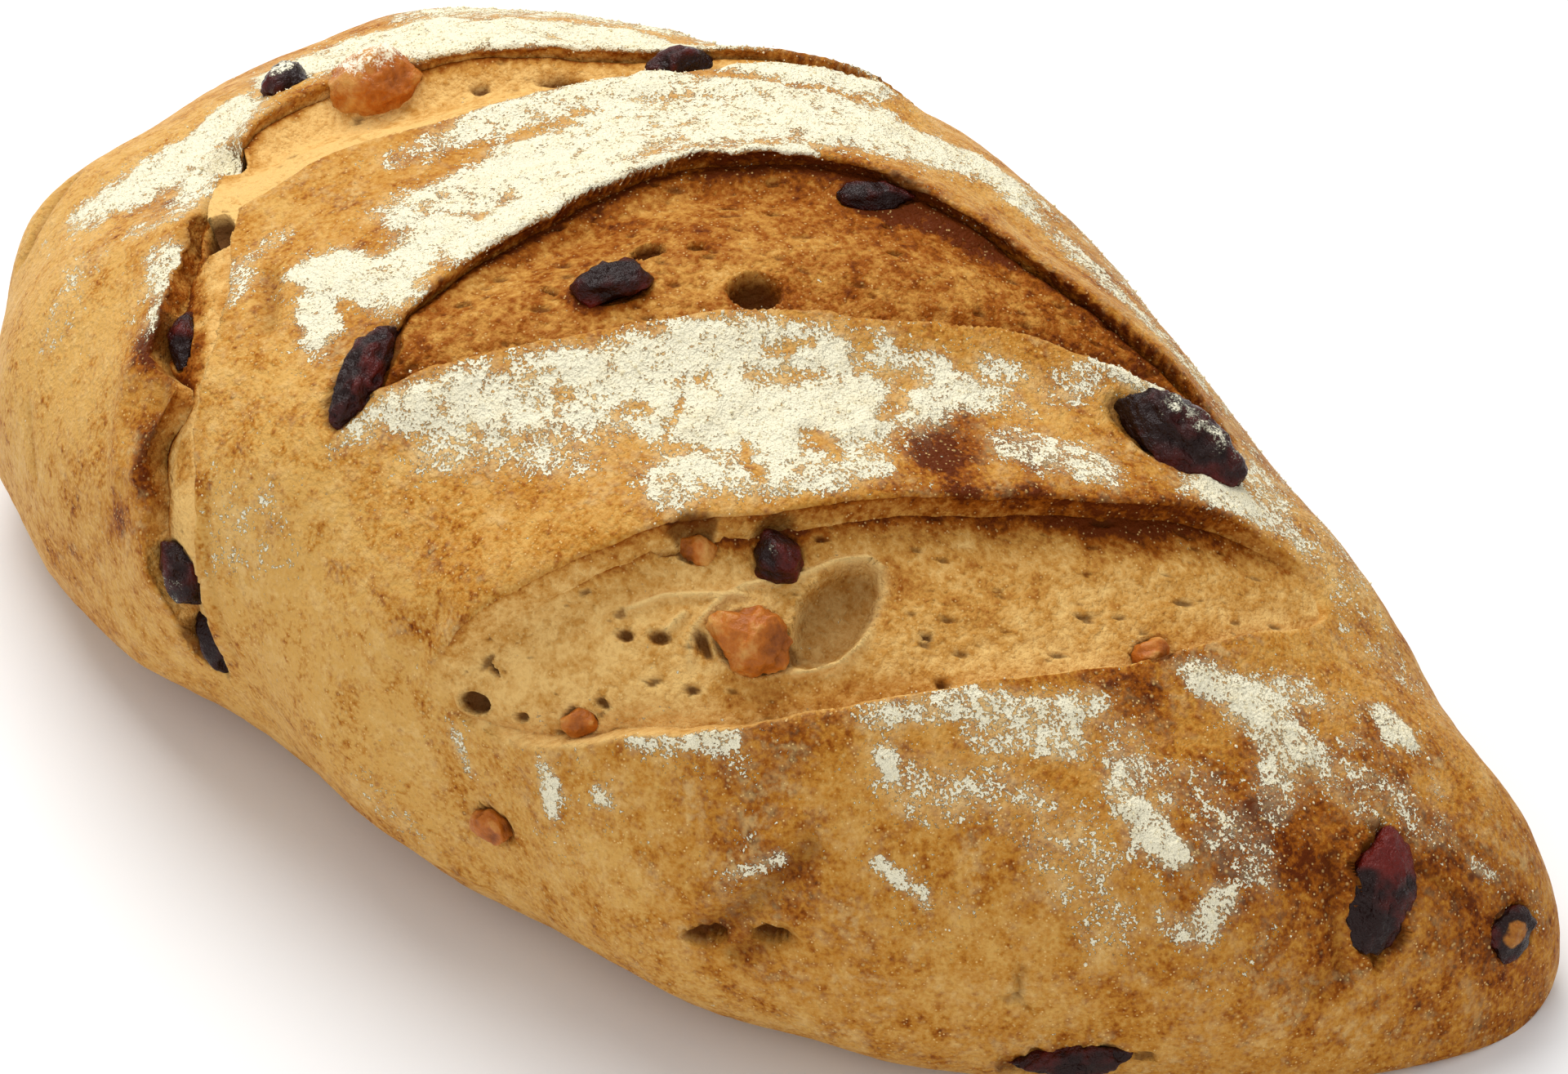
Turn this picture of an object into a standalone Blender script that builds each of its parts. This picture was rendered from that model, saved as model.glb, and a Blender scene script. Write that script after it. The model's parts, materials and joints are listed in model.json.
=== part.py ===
"""A cranberry walnut bread: a hand-shaped loaf with slashes, a torn side, and fruit and nuts in its crust.

The long axis is X with the pointed end at +X, and the loaf rests on its flat base at Z = 0.
A place on the crust is given as x along the loaf and v across it: the distance round the crust from
the crown line, positive on the far side (+Y) and negative on the near side (-Y).
"""
import math
from collections import namedtuple

import bmesh
import bpy
import numpy as np
from mathutils import Matrix, Vector

MM = 0.001
TINY = 1e-9

# The plain loaf. Widths, heights and the centre line are shares and offsets at five stations along it.
LENGTH = 0.240
WIDTH = 0.1277
HEIGHT = 0.0726
STATIONS = (-1.0, -0.5, 0.0, 0.5, 1.0)
WIDTH_SHARES = (1.096, 1.090, 1.0, 0.909, 0.743)
HEIGHT_SHARES = (1.233, 0.938, 1.0, 0.915, 0.920)
CENTRE_LINE = (0.0133, 0.0013, -0.0009, -0.0010, 0.0265)
WIDTH_POWER = 0.42
HEIGHT_POWER = 0.483
TOP_POWER = 0.766
BASE_POWER = 0.625
WAIST_SHARE = 0.342
BASE_FLAT = 1.05
STEP = 0.004

# The loaf's mesh: rings along it, points round each ring, and how far those points gather on its top.
RINGS = 48
RING_POINTS = 38
TOP_GATHER = 0.45

# Low waves of the crust: height, waves along and across in turns per metre, and phase in turns.
WAVES = ((0.5, 14.0, 9.0, 0.10), (0.4, -21.0, 13.0, 0.45), (0.35, 30.0, -17.0, 0.70), (0.25, 9.0, 33.0, 0.25))
BASE_CALM = 8 * MM
END_CALM = 0.02

# A cut's edges in its own frame: along the line from start to end, and off it toward the tip. Each edge is
# (1 - s^2)^power times a + b s + c s^2, with s from -1 to 1 along the cut. All other sizes are in mm.
Cut = namedtuple(
    "Cut", "name start end near near_power far far_power ear crest far_drop near_drop bulge columns rows"
)
CUTS = (
    Cut("slash_near", (18.5, -72.0), (81.0, 30.0), (18.0, 0.0, 0.0), 0.6, (-5.5, -2.0, -5.0), 0.6,
        2.2, 1.0, 3.0, 1.8, 0.8, 20, 4),
    Cut("slash_middle", (-11.5, -48.0), (62.0, 40.5), (-4.0, -7.0, 0.0), 0.75, (-35.0, 5.0, 15.0), 0.75,
        1.8, 1.3, 2.2, 2.2, 1.0, 20, 5),
    Cut("slash_far", (-58.0, -34.0), (-6.0, 52.0), (-8.0, -2.0, 8.0), 0.5, (-24.0, 16.0, -6.0), 0.5,
        2.6, 1.0, 4.0, 2.4, 0.6, 18, 4),
    Cut("torn_side", (-63.0, -27.0), (-22.5, -98.0), (9.0, 0.0, 0.0), 0.5, (2.4, 0.0, 0.0), 0.5,
        1.3, 0.4, 2.6, 1.8, 0.0, 16, 2),
)
EAR_REACH = 7 * MM
CREST_REACH = 5 * MM
CUT_END = 0.99
LEAST_WIDTH = 1.5 * MM
CUT_FADE = 0.22
LEAST_DEPTH = 0.7 * MM
UNDERCUT = 1.6 * MM
CUT_TOP = 7 * MM

# Dents that the hands and the oven left, with swellings as negative ones: x, v, depth and reach in mm.
DENTS = (
    (-11.0, -102.0, 4.0, 15.0),
    (-28.0, -90.0, 1.0, 9.0),
    (30.0, -95.0, 2.2, 13.0),
    (66.0, -80.0, 2.2, 11.0),
    (97.0, -53.0, 1.6, 12.0),
    (-48.0, 44.0, 2.2, 15.0),
    (-24.0, 55.0, 1.8, 16.0),
    (46.0, 57.0, 1.6, 13.0),
    (70.0, 50.0, -1.2, 12.0),
    (92.0, 31.0, 1.0, 10.0),
    (-104.0, -18.0, 1.0, 15.0),
    (-86.0, -62.0, 0.8, 6.0),
)

# Holes in the crumb: x, v, half sizes along, across and down, turn in degrees, lift of the centre, all in mm.
Hole = namedtuple("Hole", "name x v long wide deep turn lift")
HOLES = (
    Hole("hollow_by_walnut", 54.9, -25.3, 8.2, 4.8, 2.6, -76, 0.0),
    Hole("hole_crown", 14.5, -1.9, 3.5, 2.8, 3.2, 54, 0.0),
    Hole("hole_crown_left", -0.2, -7.3, 2.3, 1.6, 1.6, 56, 0.0),
    Hole("hole_corner", 24.7, -69.0, 2.2, 1.5, 1.8, 39, 0.0),
    Hole("hole_far_slash", -49.8, 21.6, 4.2, 2.4, 2.4, 34, 4.0),
    Hole("hole_torn_top", -72.8, -20.4, 4.6, 2.7, 3.0, -34, 0.0),
    Hole("hole_torn", -57.5, -33.6, 3.4, 2.6, 2.8, -40, 0.0),
    Hole("hole_flank_left", 59.0, -70.8, 3.0, 1.3, 1.8, 49, 0.0),
    Hole("hole_flank_right", 66.1, -63.4, 2.4, 1.2, 1.6, 51, 0.0),
)
HOLE_POINTS = 10
HOLE_RINGS = 6

# Fruit and nuts: x, v, half sizes long, wide and deep, turn in degrees, lift of the centre over the crust.
Piece = namedtuple("Piece", "name x v long wide deep turn lift detail")
CRANBERRIES = (
    Piece("cranberry_crown", 2.0, -15.2, 4.4, 2.9, 2.6, 58, 0.7, 3),
    Piece("cranberry_middle_corner", -12.6, -44.8, 8.0, 3.0, 3.0, -75, 0.2, 2),
    Piece("cranberry_middle_ear", 9.0, 24.0, 4.7, 1.8, 1.8, 58, 1.4, 2),
    Piece("cranberry_band", 57.8, 28.0, 8.6, 4.4, 4.4, 16, 1.4, 3),
    Piece("cranberry_hollow", 45.4, -26.6, 3.1, 2.8, 2.8, -46, 0.8, 2),
    Piece("cranberry_tip", 110.4, -7.6, 7.4, 4.5, 2.7, -58, -1.3, 3),
    Piece("cranberry_point", 117.5, 3.1, 4.0, 2.9, 2.0, 82, -0.5, 2),
    Piece("cranberry_foot", 95.0, -54.0, 6.8, 2.1, 2.1, 43, 0.0, 2),
    Piece("cranberry_torn_high", -46.2, -50.4, 4.4, 2.0, 2.0, -50, 0.0, 2),
    Piece("cranberry_torn_low", -27.4, -80.8, 4.4, 2.6, 2.6, -60, 0.6, 2),
    Piece("cranberry_torn_foot", -24.0, -91.6, 4.2, 2.2, 2.2, -66, 0.4, 2),
    Piece("cranberry_far_corner", -80.6, -3.4, 3.8, 3.0, 2.4, -30, 0.6, 2),
    Piece("cranberry_far_slash", -37.4, 30.6, 4.4, 2.6, 2.6, 53, 3.2, 2),
)
WALNUTS = (
    Piece("walnut_hollow", 50.6, -36.0, 4.9, 3.9, 3.0, 27, 0.6, 2),
    Piece("walnut_near_ear", 38.0, -33.4, 2.8, 2.3, 2.2, 52, 0.2, 2),
    Piece("walnut_far_slash", -69.0, 3.6, 5.7, 4.6, 4.6, 51, 5.0, 3),
    Piece("walnut_near_crest", 78.2, 0.6, 2.7, 1.9, 1.9, 73, 0.2, 2),
    Piece("walnut_flank", 28.7, -84.7, 3.2, 2.4, 2.2, 43, 0.0, 2),
    Piece("walnut_near_corner", 38.2, -60.4, 2.3, 1.7, 1.7, 50, 0.2, 2),
)
CRANBERRY_WRINKLE = 0.20
WALNUT_WRINKLE = 0.32
LUMPS = 5
LUMP_RATE = 1.7
POCKET_GAP = 0.5 * MM

CRUST_LOOK = ((0.52, 0.27, 0.09), 0.75)
CRANBERRY_LOOK = ((0.06, 0.01, 0.012), 0.35)
WALNUT_LOOK = ((0.42, 0.16, 0.04), 0.5)


def through(t, values):
    """The smooth curve through the values at the five stations, read at t."""
    return np.polyval(np.polyfit(STATIONS, values, len(STATIONS) - 1), t)


def plain_form(t, angle):
    """Points of the plain loaf, t from -1 to 1 along it and an angle round it: 0 far side, 90 top."""
    t = np.asarray(t, float)
    room = np.clip(1 - t * t, 0, 1)
    half = WIDTH / 2 * room ** WIDTH_POWER * through(t, WIDTH_SHARES)
    top = HEIGHT * room ** HEIGHT_POWER * through(t, HEIGHT_SHARES)
    out, up = np.cos(angle), np.sin(angle)
    y = through(t, CENTRE_LINE) + half * np.sign(out) * np.abs(out) ** TOP_POWER
    waist = WAIST_SHARE * top
    over = waist + (top - waist) * np.abs(up) ** TOP_POWER
    under = np.maximum(waist - BASE_FLAT * waist * np.abs(up) ** BASE_POWER, 0)
    return np.stack([LENGTH / 2 * t + 0 * y, y, np.where(up >= 0, over, under)], -1)


def unroll():
    """The table of v at places along the loaf and angles round it."""
    along = -np.cos(np.linspace(0.0, math.pi, 121))
    angles = np.linspace(-math.pi / 2, 1.5 * math.pi, 361)
    points = plain_form(along[:, None] + 0 * angles, angles + 0 * along[:, None])
    steps = np.linalg.norm(np.diff(points, axis=1), axis=-1)
    round_it = np.concatenate([np.zeros((len(along), 1)), np.cumsum(steps, axis=1)], axis=1)
    crown = round_it[:, len(angles) // 4 * 2: len(angles) // 4 * 2 + 1]
    return along, angles, crown - round_it


ALONG, ANGLES, ACROSS = unroll()


def across_row(t):
    """The values of v at all the table's angles, for one place along the loaf."""
    place = float(np.interp(t, ALONG, np.arange(len(ALONG))))
    low = min(int(place), len(ALONG) - 2)
    return ACROSS[low] + (place - low) * (ACROSS[low + 1] - ACROSS[low])


def angle_of(t, v):
    """The angle round the loaf that lies v across the crust."""
    return float(np.interp(-v, -across_row(t), ANGLES))


def across_of(t, angle):
    """How far across the crust an angle round the loaf lies."""
    return float(np.interp(angle, ANGLES, across_row(t)))


def frame_at(x, v):
    """The point of the plain loaf at x and v, with its directions along, across and out of the crust."""
    t = np.clip(x / (LENGTH / 2), STEP - 1, 1 - STEP)
    angle = angle_of(t, v)
    point = Vector(plain_form(x / (LENGTH / 2), angle))
    along = Vector(plain_form(t + STEP, angle_of(t + STEP, v)) - plain_form(t - STEP, angle_of(t - STEP, v)))
    across = Vector(plain_form(t, angle - STEP) - plain_form(t, angle + STEP))
    out = along.cross(across).normalized()
    along = along.normalized()
    return point, along, out.cross(along).normalized(), out


def smooth(value):
    """A smooth rise from 0 to 1 as the value goes from 0 to 1."""
    value = np.clip(value, 0, 1)
    return value * value * (3 - 2 * value)


def cut_axes(cut):
    """The start, half length and two directions of a cut on the unrolled crust."""
    start = np.array(cut.start) * MM
    span = np.array(cut.end) * MM - start
    half = np.hypot(*span) / 2
    direction = span / (2 * half)
    side = np.array((direction[1], -direction[0])) * math.copysign(1, direction[1])
    return start + direction * half, half, direction, side


def cut_edges(cut, s):
    """How far a cut's near and far edges lie off the line between its ends."""
    offsets = []
    for numbers, power in ((cut.near, cut.near_power), (cut.far, cut.far_power)):
        level, slope, curve = numbers
        offsets.append(MM * (1 - s * s) ** power * (level + slope * s + curve * s * s))
    near, far = offsets
    return near, min(far, near - LEAST_WIDTH)


def cut_place(cut, x, v):
    """Where a place lies in a cut: s along it, its offset, and the near and far edges' offsets there."""
    middle, half, direction, side = cut_axes(cut)
    away = np.array((x, v)) - middle
    s = float(away @ direction) / half
    near, far = cut_edges(cut, min(max(s, -1.0), 1.0))
    return s, float(away @ side), near, far


def cut_fade(s):
    """One along a cut and zero past its ends."""
    return float(smooth((1 - abs(s)) / CUT_FADE))


def waves(x, v):
    """The crust's low waves and dents."""
    total = 0.0
    for height, along, across, phase in WAVES:
        total += height * MM * math.sin(2 * math.pi * (along * x + across * v + phase))
    for dent_x, dent_v, depth, reach in DENTS:
        away = math.hypot(x / MM - dent_x, v / MM - dent_v)
        total -= depth * MM * math.exp(-(away / reach) ** 2)
    return total


def crust_rise(x, v):
    """How far the crust stands off the plain loaf: waves, ears on far edges and crests on near ones."""
    rise = waves(x, v)
    for cut in CUTS:
        s, offset, near, far = cut_place(cut, x, v)
        fade = cut_fade(s)
        rise += fade * cut.ear * MM * math.exp(-((offset - far) / EAR_REACH) ** 2)
        rise += fade * cut.crest * MM * math.exp(-((offset - near) / CREST_REACH) ** 2)
    return rise


def crumb_rise(cut, s, q, x, v):
    """How far the bared crumb of a cut stands off the plain loaf, q from 0 at its far edge to 1."""
    drop = cut.far_drop * (1 - q) ** 1.5 + cut.near_drop * q ** 2.5 - cut.bulge * math.sin(math.pi * q)
    return waves(x, v) - LEAST_DEPTH - cut_fade(s) * drop * MM


def ground(x, v):
    """The loaf's own surface height at a place: the crumb inside a cut, else the crust."""
    height = crust_rise(x, v)
    for cut in CUTS:
        s, offset, near, far = cut_place(cut, x, v)
        if abs(s) < CUT_END and far < offset < near:
            height = min(height, crumb_rise(cut, s, (offset - far) / (near - far), x, v))
    return height


def start_clean():
    """Remove every object and collection that the file already holds."""
    for item in list(bpy.data.objects):
        bpy.data.objects.remove(item, do_unlink=True)
    for group in list(bpy.data.collections):
        bpy.data.collections.remove(group)


def new_collection(name):
    """A collection in the scene."""
    group = bpy.data.collections.new(name)
    bpy.context.scene.collection.children.link(group)
    return group


def look(name, colour, roughness):
    """A plain Principled material."""
    material = bpy.data.materials.new(name)
    material.use_nodes = True
    shader = material.node_tree.nodes["Principled BSDF"]
    shader.inputs["Base Color"].default_value = (*colour, 1.0)
    shader.inputs["Roughness"].default_value = roughness
    return material


def add_object(name, shape, group, material=None):
    """An object from a bmesh, smooth shaded, in a collection."""
    mesh = bpy.data.meshes.new(name)
    bmesh.ops.recalc_face_normals(shape, faces=shape.faces)
    if shape.calc_volume(signed=True) < 0:
        bmesh.ops.reverse_faces(shape, faces=shape.faces)
    shape.to_mesh(mesh)
    shape.free()
    mesh.shade_smooth()
    if material:
        mesh.materials.append(material)
    item = bpy.data.objects.new(name, mesh)
    group.objects.link(item)
    return item


def add_cutter(name, shape, group):
    """A cutter, which stays out of every view."""
    cutter = add_object(name, shape, group)
    cutter.display_type = "WIRE"
    cutter.hide_render = True
    return cutter


def loaf_shape():
    """The loaf before its cuts: a sphere's points moved onto the loaf's form and out by the crust's rise."""
    shape = bmesh.new()
    bmesh.ops.create_uvsphere(shape, u_segments=RING_POINTS, v_segments=RINGS, radius=1.0)
    for vertex in shape.verts:
        turn = math.atan2(vertex.co.y, vertex.co.x)
        angle = turn + TOP_GATHER * math.cos(turn)
        if angle < -math.pi / 2:
            angle += 2 * math.pi
        t = max(-1.0, min(1.0, vertex.co.z))
        v = across_of(t, angle)
        x = t * LENGTH / 2
        point, _, _, out = frame_at(x, v)
        calm = float(smooth(point.z / BASE_CALM)) * float(smooth((1 - abs(t)) / END_CALM))
        point += out * crust_rise(x, v) * calm
        point.z = max(point.z, 0.0)
        vertex.co = point
    return shape


def cut_shape(cut):
    """The solid that a cut takes away: a grid laid on the bared crumb and raised past the crust."""
    middle, half, direction, side = cut_axes(cut)
    shape = bmesh.new()
    bmesh.ops.create_grid(shape, x_segments=cut.columns, y_segments=cut.rows, size=1.0)
    raised = bmesh.ops.extrude_face_region(shape, geom=shape.faces[:])["geom"]
    for part in raised:
        if isinstance(part, bmesh.types.BMVert):
            part.co.z = 1.0
    for vertex in shape.verts:
        s = CUT_END * math.sin(math.pi / 2 * vertex.co.x)
        q = (vertex.co.y + 1) / 2
        near, far = cut_edges(cut, s)
        offset = far + q * (near - far)
        x, v = middle + direction * half * s + side * offset
        height = CUT_TOP
        if vertex.co.z < 0.5:
            height = crumb_rise(cut, s, q, x, v)
            x, v = np.array((x, v)) - side * UNDERCUT * cut_fade(s) * (1 - q) ** 4
        point, _, _, out = frame_at(x, v)
        vertex.co = point + out * height
    return shape


def place_matrix(x, v, turn, lift):
    """Where a piece or a hole sits: on the loaf's surface, turned in it, raised by its lift."""
    point, along, across, out = frame_at(x * MM, v * MM)
    point += out * (ground(x * MM, v * MM) + lift * MM)
    frame = Matrix((along, across, out)).transposed()
    return Matrix.Translation(point) @ (frame @ Matrix.Rotation(math.radians(turn), 3, "Z")).to_4x4()


def hole_shape(hole):
    """An egg-shaped hole, open at the surface."""
    shape = bmesh.new()
    bmesh.ops.create_uvsphere(shape, u_segments=HOLE_POINTS, v_segments=HOLE_RINGS, radius=1.0)
    sizes = Matrix.Diagonal((hole.long * MM, hole.wide * MM, hole.deep * MM, 1.0))
    shape.transform(place_matrix(hole.x, hole.v, hole.turn, hole.lift) @ sizes)
    return shape


def piece_shape(piece, wrinkle, seed, grow=0.0):
    """A lumpy fruit or nut piece, grown by a margin for the pocket that it sits in."""
    shape = bmesh.new()
    bmesh.ops.create_icosphere(shape, subdivisions=piece.detail, radius=1.0)
    draw = np.random.default_rng(seed)
    folds = draw.normal(size=(LUMPS, 3)) * LUMP_RATE
    phases = draw.uniform(0, 2 * math.pi, LUMPS)
    for vertex in shape.verts:
        lumps = np.sin(folds @ np.array(vertex.co) + phases).mean()
        vertex.co *= 1 + wrinkle * float(lumps)
    sizes = Matrix.Diagonal((piece.long * MM, piece.wide * MM, piece.deep * MM, 1.0))
    shape.transform(place_matrix(piece.x, piece.v, piece.turn, piece.lift) @ sizes)
    if grow > TINY:
        shape.normal_update()
        moved = [vertex.co + vertex.normal * grow for vertex in shape.verts]
        for vertex, place in zip(shape.verts, moved):
            vertex.co = place
    return shape


def cut_away(target, cutter):
    """Take a cutter's solid away from the target."""
    step = target.modifiers.new(cutter.name, "BOOLEAN")
    step.operation = "DIFFERENCE"
    step.solver = "EXACT"
    step.object = cutter


def build():
    """The loaf with its cuts and holes, and the fruit and nuts in their pockets."""
    start_clean()
    bread = new_collection("cranberry_walnut_bread")
    cutters = new_collection("cutters")
    crust = look("crust", *CRUST_LOOK)
    loaf = add_object("loaf", loaf_shape(), bread, crust)
    for cut in CUTS:
        cut_away(loaf, add_cutter(cut.name, cut_shape(cut), cutters))
    for hole in HOLES:
        cut_away(loaf, add_cutter(hole.name, hole_shape(hole), cutters))
    kinds = (
        (CRANBERRIES, CRANBERRY_WRINKLE, look("cranberry", *CRANBERRY_LOOK)),
        (WALNUTS, WALNUT_WRINKLE, look("walnut", *WALNUT_LOOK)),
    )
    seed = 0
    for pieces, wrinkle, material in kinds:
        for piece in pieces:
            seed += 1
            add_object(piece.name, piece_shape(piece, wrinkle, seed), bread, material)
            pocket = piece_shape(piece, wrinkle, seed, POCKET_GAP)
            cut_away(loaf, add_cutter(piece.name + "_pocket", pocket, cutters))


build()
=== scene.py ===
"""Looks for a cranberry walnut bread: crust, bared crumb, fruit, nuts, flour and the stage it is shown on."""

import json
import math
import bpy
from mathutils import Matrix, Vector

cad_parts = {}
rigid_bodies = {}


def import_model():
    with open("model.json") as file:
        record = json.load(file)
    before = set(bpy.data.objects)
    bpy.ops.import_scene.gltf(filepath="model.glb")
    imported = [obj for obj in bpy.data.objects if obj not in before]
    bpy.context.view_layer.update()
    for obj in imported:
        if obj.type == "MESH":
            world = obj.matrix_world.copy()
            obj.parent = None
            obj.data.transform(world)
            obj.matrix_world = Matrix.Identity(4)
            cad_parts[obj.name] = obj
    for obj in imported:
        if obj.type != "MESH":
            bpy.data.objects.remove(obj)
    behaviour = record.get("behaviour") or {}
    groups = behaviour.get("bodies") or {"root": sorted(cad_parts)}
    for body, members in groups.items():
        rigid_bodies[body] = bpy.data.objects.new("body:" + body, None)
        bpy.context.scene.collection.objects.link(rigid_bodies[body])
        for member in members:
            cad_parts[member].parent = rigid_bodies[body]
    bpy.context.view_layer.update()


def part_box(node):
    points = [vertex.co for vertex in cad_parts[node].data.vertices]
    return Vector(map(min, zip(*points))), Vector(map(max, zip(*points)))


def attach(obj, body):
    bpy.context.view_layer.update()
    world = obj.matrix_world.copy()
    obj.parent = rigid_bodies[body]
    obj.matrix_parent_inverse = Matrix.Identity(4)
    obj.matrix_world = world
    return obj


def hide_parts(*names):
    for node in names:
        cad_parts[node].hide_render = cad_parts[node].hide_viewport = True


bl_info = {
    "name": "Cranberry walnut bread",
    "version": (1, 0, 0),
    "blender": (4, 5, 0),
    "location": "View3D > Sidebar > Bread",
    "description": "Builds the crust, crumb, fruit, nuts and flour of a hand-shaped loaf over its solids",
    "category": "Object",
}

from collections import namedtuple

import bmesh
import bpy
import numpy as np
from mathutils import Vector

for leftover in list(bpy.data.objects):
    bpy.data.objects.remove(leftover)
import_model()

MM = 0.001

# The plain loaf, in the same sizes as the solids. Widths, heights and the centre line are given at five
# stations along it.
LENGTH = 0.240
WIDTH = 0.1277
HEIGHT = 0.0726
STATIONS = (-1.0, -0.5, 0.0, 0.5, 1.0)
WIDTH_SHARES = (1.096, 1.090, 1.0, 0.909, 0.743)
HEIGHT_SHARES = (1.233, 0.938, 1.0, 0.915, 0.920)
CENTRE_LINE = (0.0133, 0.0013, -0.0009, -0.0010, 0.0265)
WIDTH_POWER = 0.42
HEIGHT_POWER = 0.483
TOP_POWER = 0.766
BASE_POWER = 0.625
WAIST_SHARE = 0.342
BASE_FLAT = 1.05
# The step of t and of the angle in which directions on the loaf are measured.
STEP = 0.004
# The tables that unroll its crust: steps along the loaf and round it, then steps of t and v and v's reach.
UNROLL_ROWS = 121
UNROLL_ANGLES = 361
TABLE_ROWS = 481
TABLE_COLUMNS = 661
TABLE_REACH = 0.165
# Low waves of the crust: height in mm, turns per metre along and across, and phase. Then how far from the base
# and the loaf's ends all relief dies away.
WAVES = ((0.5, 14.0, 9.0, 0.10), (0.4, -21.0, 13.0, 0.45), (0.35, 30.0, -17.0, 0.70), (0.25, 9.0, 33.0, 0.25))
BASE_CALM = 8 * MM
END_CALM = 0.02
# How far ears and crests reach from the edges of a cut, how narrow and how shallow a cut can be, and how long
# its ends are.
EAR_REACH = 7 * MM
CREST_REACH = 5 * MM
LEAST_WIDTH = 1.5 * MM
LEAST_DEPTH = 0.7 * MM
CUT_FADE = 0.22
# The small waves of the cuts' edges: height in mm, turns along a cut, and how much larger on the torn side.
WANDER = 0.9
WANDER_TURNS = (3, 5, 9, 16, 27)
TORN_WANDER = 1.5
# The edges' slopes: half the step in which one is measured, its least run, and the steepest.
SLOPE_STEP = 0.006
LEAST_RUN = 0.002
STEEPEST = 3

# The cuts: ends as x and v on the unrolled crust, edges off the line between the ends, and the heights beside
# them, in mm. Columns and rows are those of the crumb's mesh.
Cut = namedtuple("Cut", (
    "name start end near near_power far far_power ear crest far_drop near_drop bulge columns rows"
))
CUTS = (
    Cut("slash_near", (18.5, -72.0), (81.0, 30.0), (18.0, 0.0, 0.0), 0.6, (-5.5, -2.0, -5.0), 0.6,
        2.2, 1.0, 3.0, 1.8, 0.8, 300, 84),
    Cut("slash_middle", (-11.5, -48.0), (62.0, 40.5), (-4.0, -7.0, 0.0), 0.75, (-35.0, 5.0, 15.0), 0.75,
        1.8, 1.3, 2.2, 2.2, 1.0, 300, 96),
    Cut("slash_far", (-58.0, -34.0), (-6.0, 52.0), (-8.0, -2.0, 8.0), 0.5, (-24.0, 16.0, -6.0), 0.5,
        2.6, 1.0, 4.0, 2.4, 0.6, 250, 60),
    Cut("torn_side", (-63.0, -27.0), (-22.5, -98.0), (12.0, 2.0, -2.0), 0.5, (1.8, 2.0, -4.0), 0.4,
        1.3, 0.4, 2.6, 1.8, 0.0, 210, 34),
)

NEAR_SLASH = "slash_near"
# The ears whose flour reaches over the lip.
FLOURED_EARS = ("slash_middle", "slash_far")

# A flap of crust that reaches into a cut from its far edge: its place and half width as shares of the cut's
# half length, and its reach in mm.
Flap = namedtuple("Flap", "cut s half reach")
FLAP = Flap("torn_side", -0.05, 0.11, 5.0)

# Dents and swellings of the crust: x, v, depth and reach in mm.
DENTS = (
    (-11.0, -102.0, 4.0, 15.0),
    (-28.0, -90.0, 1.0, 9.0),
    (30.0, -95.0, 2.2, 13.0),
    (66.0, -80.0, 2.2, 11.0),
    (97.0, -53.0, 1.6, 12.0),
    (-48.0, 44.0, 2.2, 15.0),
    (-24.0, 55.0, 1.8, 16.0),
    (46.0, 57.0, 1.6, 13.0),
    (70.0, 50.0, -1.2, 12.0),
    (92.0, 31.0, 1.0, 10.0),
    (-104.0, -18.0, 1.0, 15.0),
    (-86.0, -62.0, 0.8, 6.0),
)

# Holes in the crumb and the crust: x, v, half sizes along, across and down, in mm, and turn in degrees.
Hole = namedtuple("Hole", "name x v long wide deep turn")
HOLES = (
    Hole("hollow_by_walnut", 54.6, -25.6, 8.4, 4.4, 3.2, -76),
    Hole("hole_crown", 14.5, -1.9, 3.5, 2.8, 3.2, 54),
    Hole("hole_crown_left", -0.2, -7.3, 2.3, 1.6, 1.6, 56),
    Hole("hole_corner", 24.7, -69.0, 2.2, 1.5, 1.8, 39),
    Hole("hole_torn_top", -72.8, -20.4, 4.6, 2.7, 3.0, -34),
    Hole("hole_torn", -57.5, -33.6, 3.4, 2.6, 2.8, -40),
    Hole("hole_flank_left", 59.0, -70.8, 3.0, 1.3, 1.8, 49),
    Hole("hole_flank_right", 66.1, -63.4, 2.4, 1.2, 1.6, 51),
)

# The shape of the wide hollow's bowl and of the other holes': power of its depth, height of its rim in mm,
# strength of the painted shade inside it, and how sharply that ends.
HOLLOW = "hollow_by_walnut"
Bowl = namedtuple("Bowl", "power rim shade edge")
HOLLOW_BOWL = Bowl(3.2, 0.2, 0.52, 4)
HOLE_BOWL = Bowl(2.4, 0.3, 1.0, 7)
# How uneven a hole's outline is and how much deeper than the solid's it is, and the place and width of its
# rim. Sizes of the unevenness and of torn crust.
HOLE_UNEVEN = 0.12
HOLE_DEEPER = 1.1
RIM_PLACE = 1.1
RIM_WIDTH = 0.09
UNEVEN_SIZE = 3 * MM
TORN_SIZE = 2.4 * MM

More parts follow.
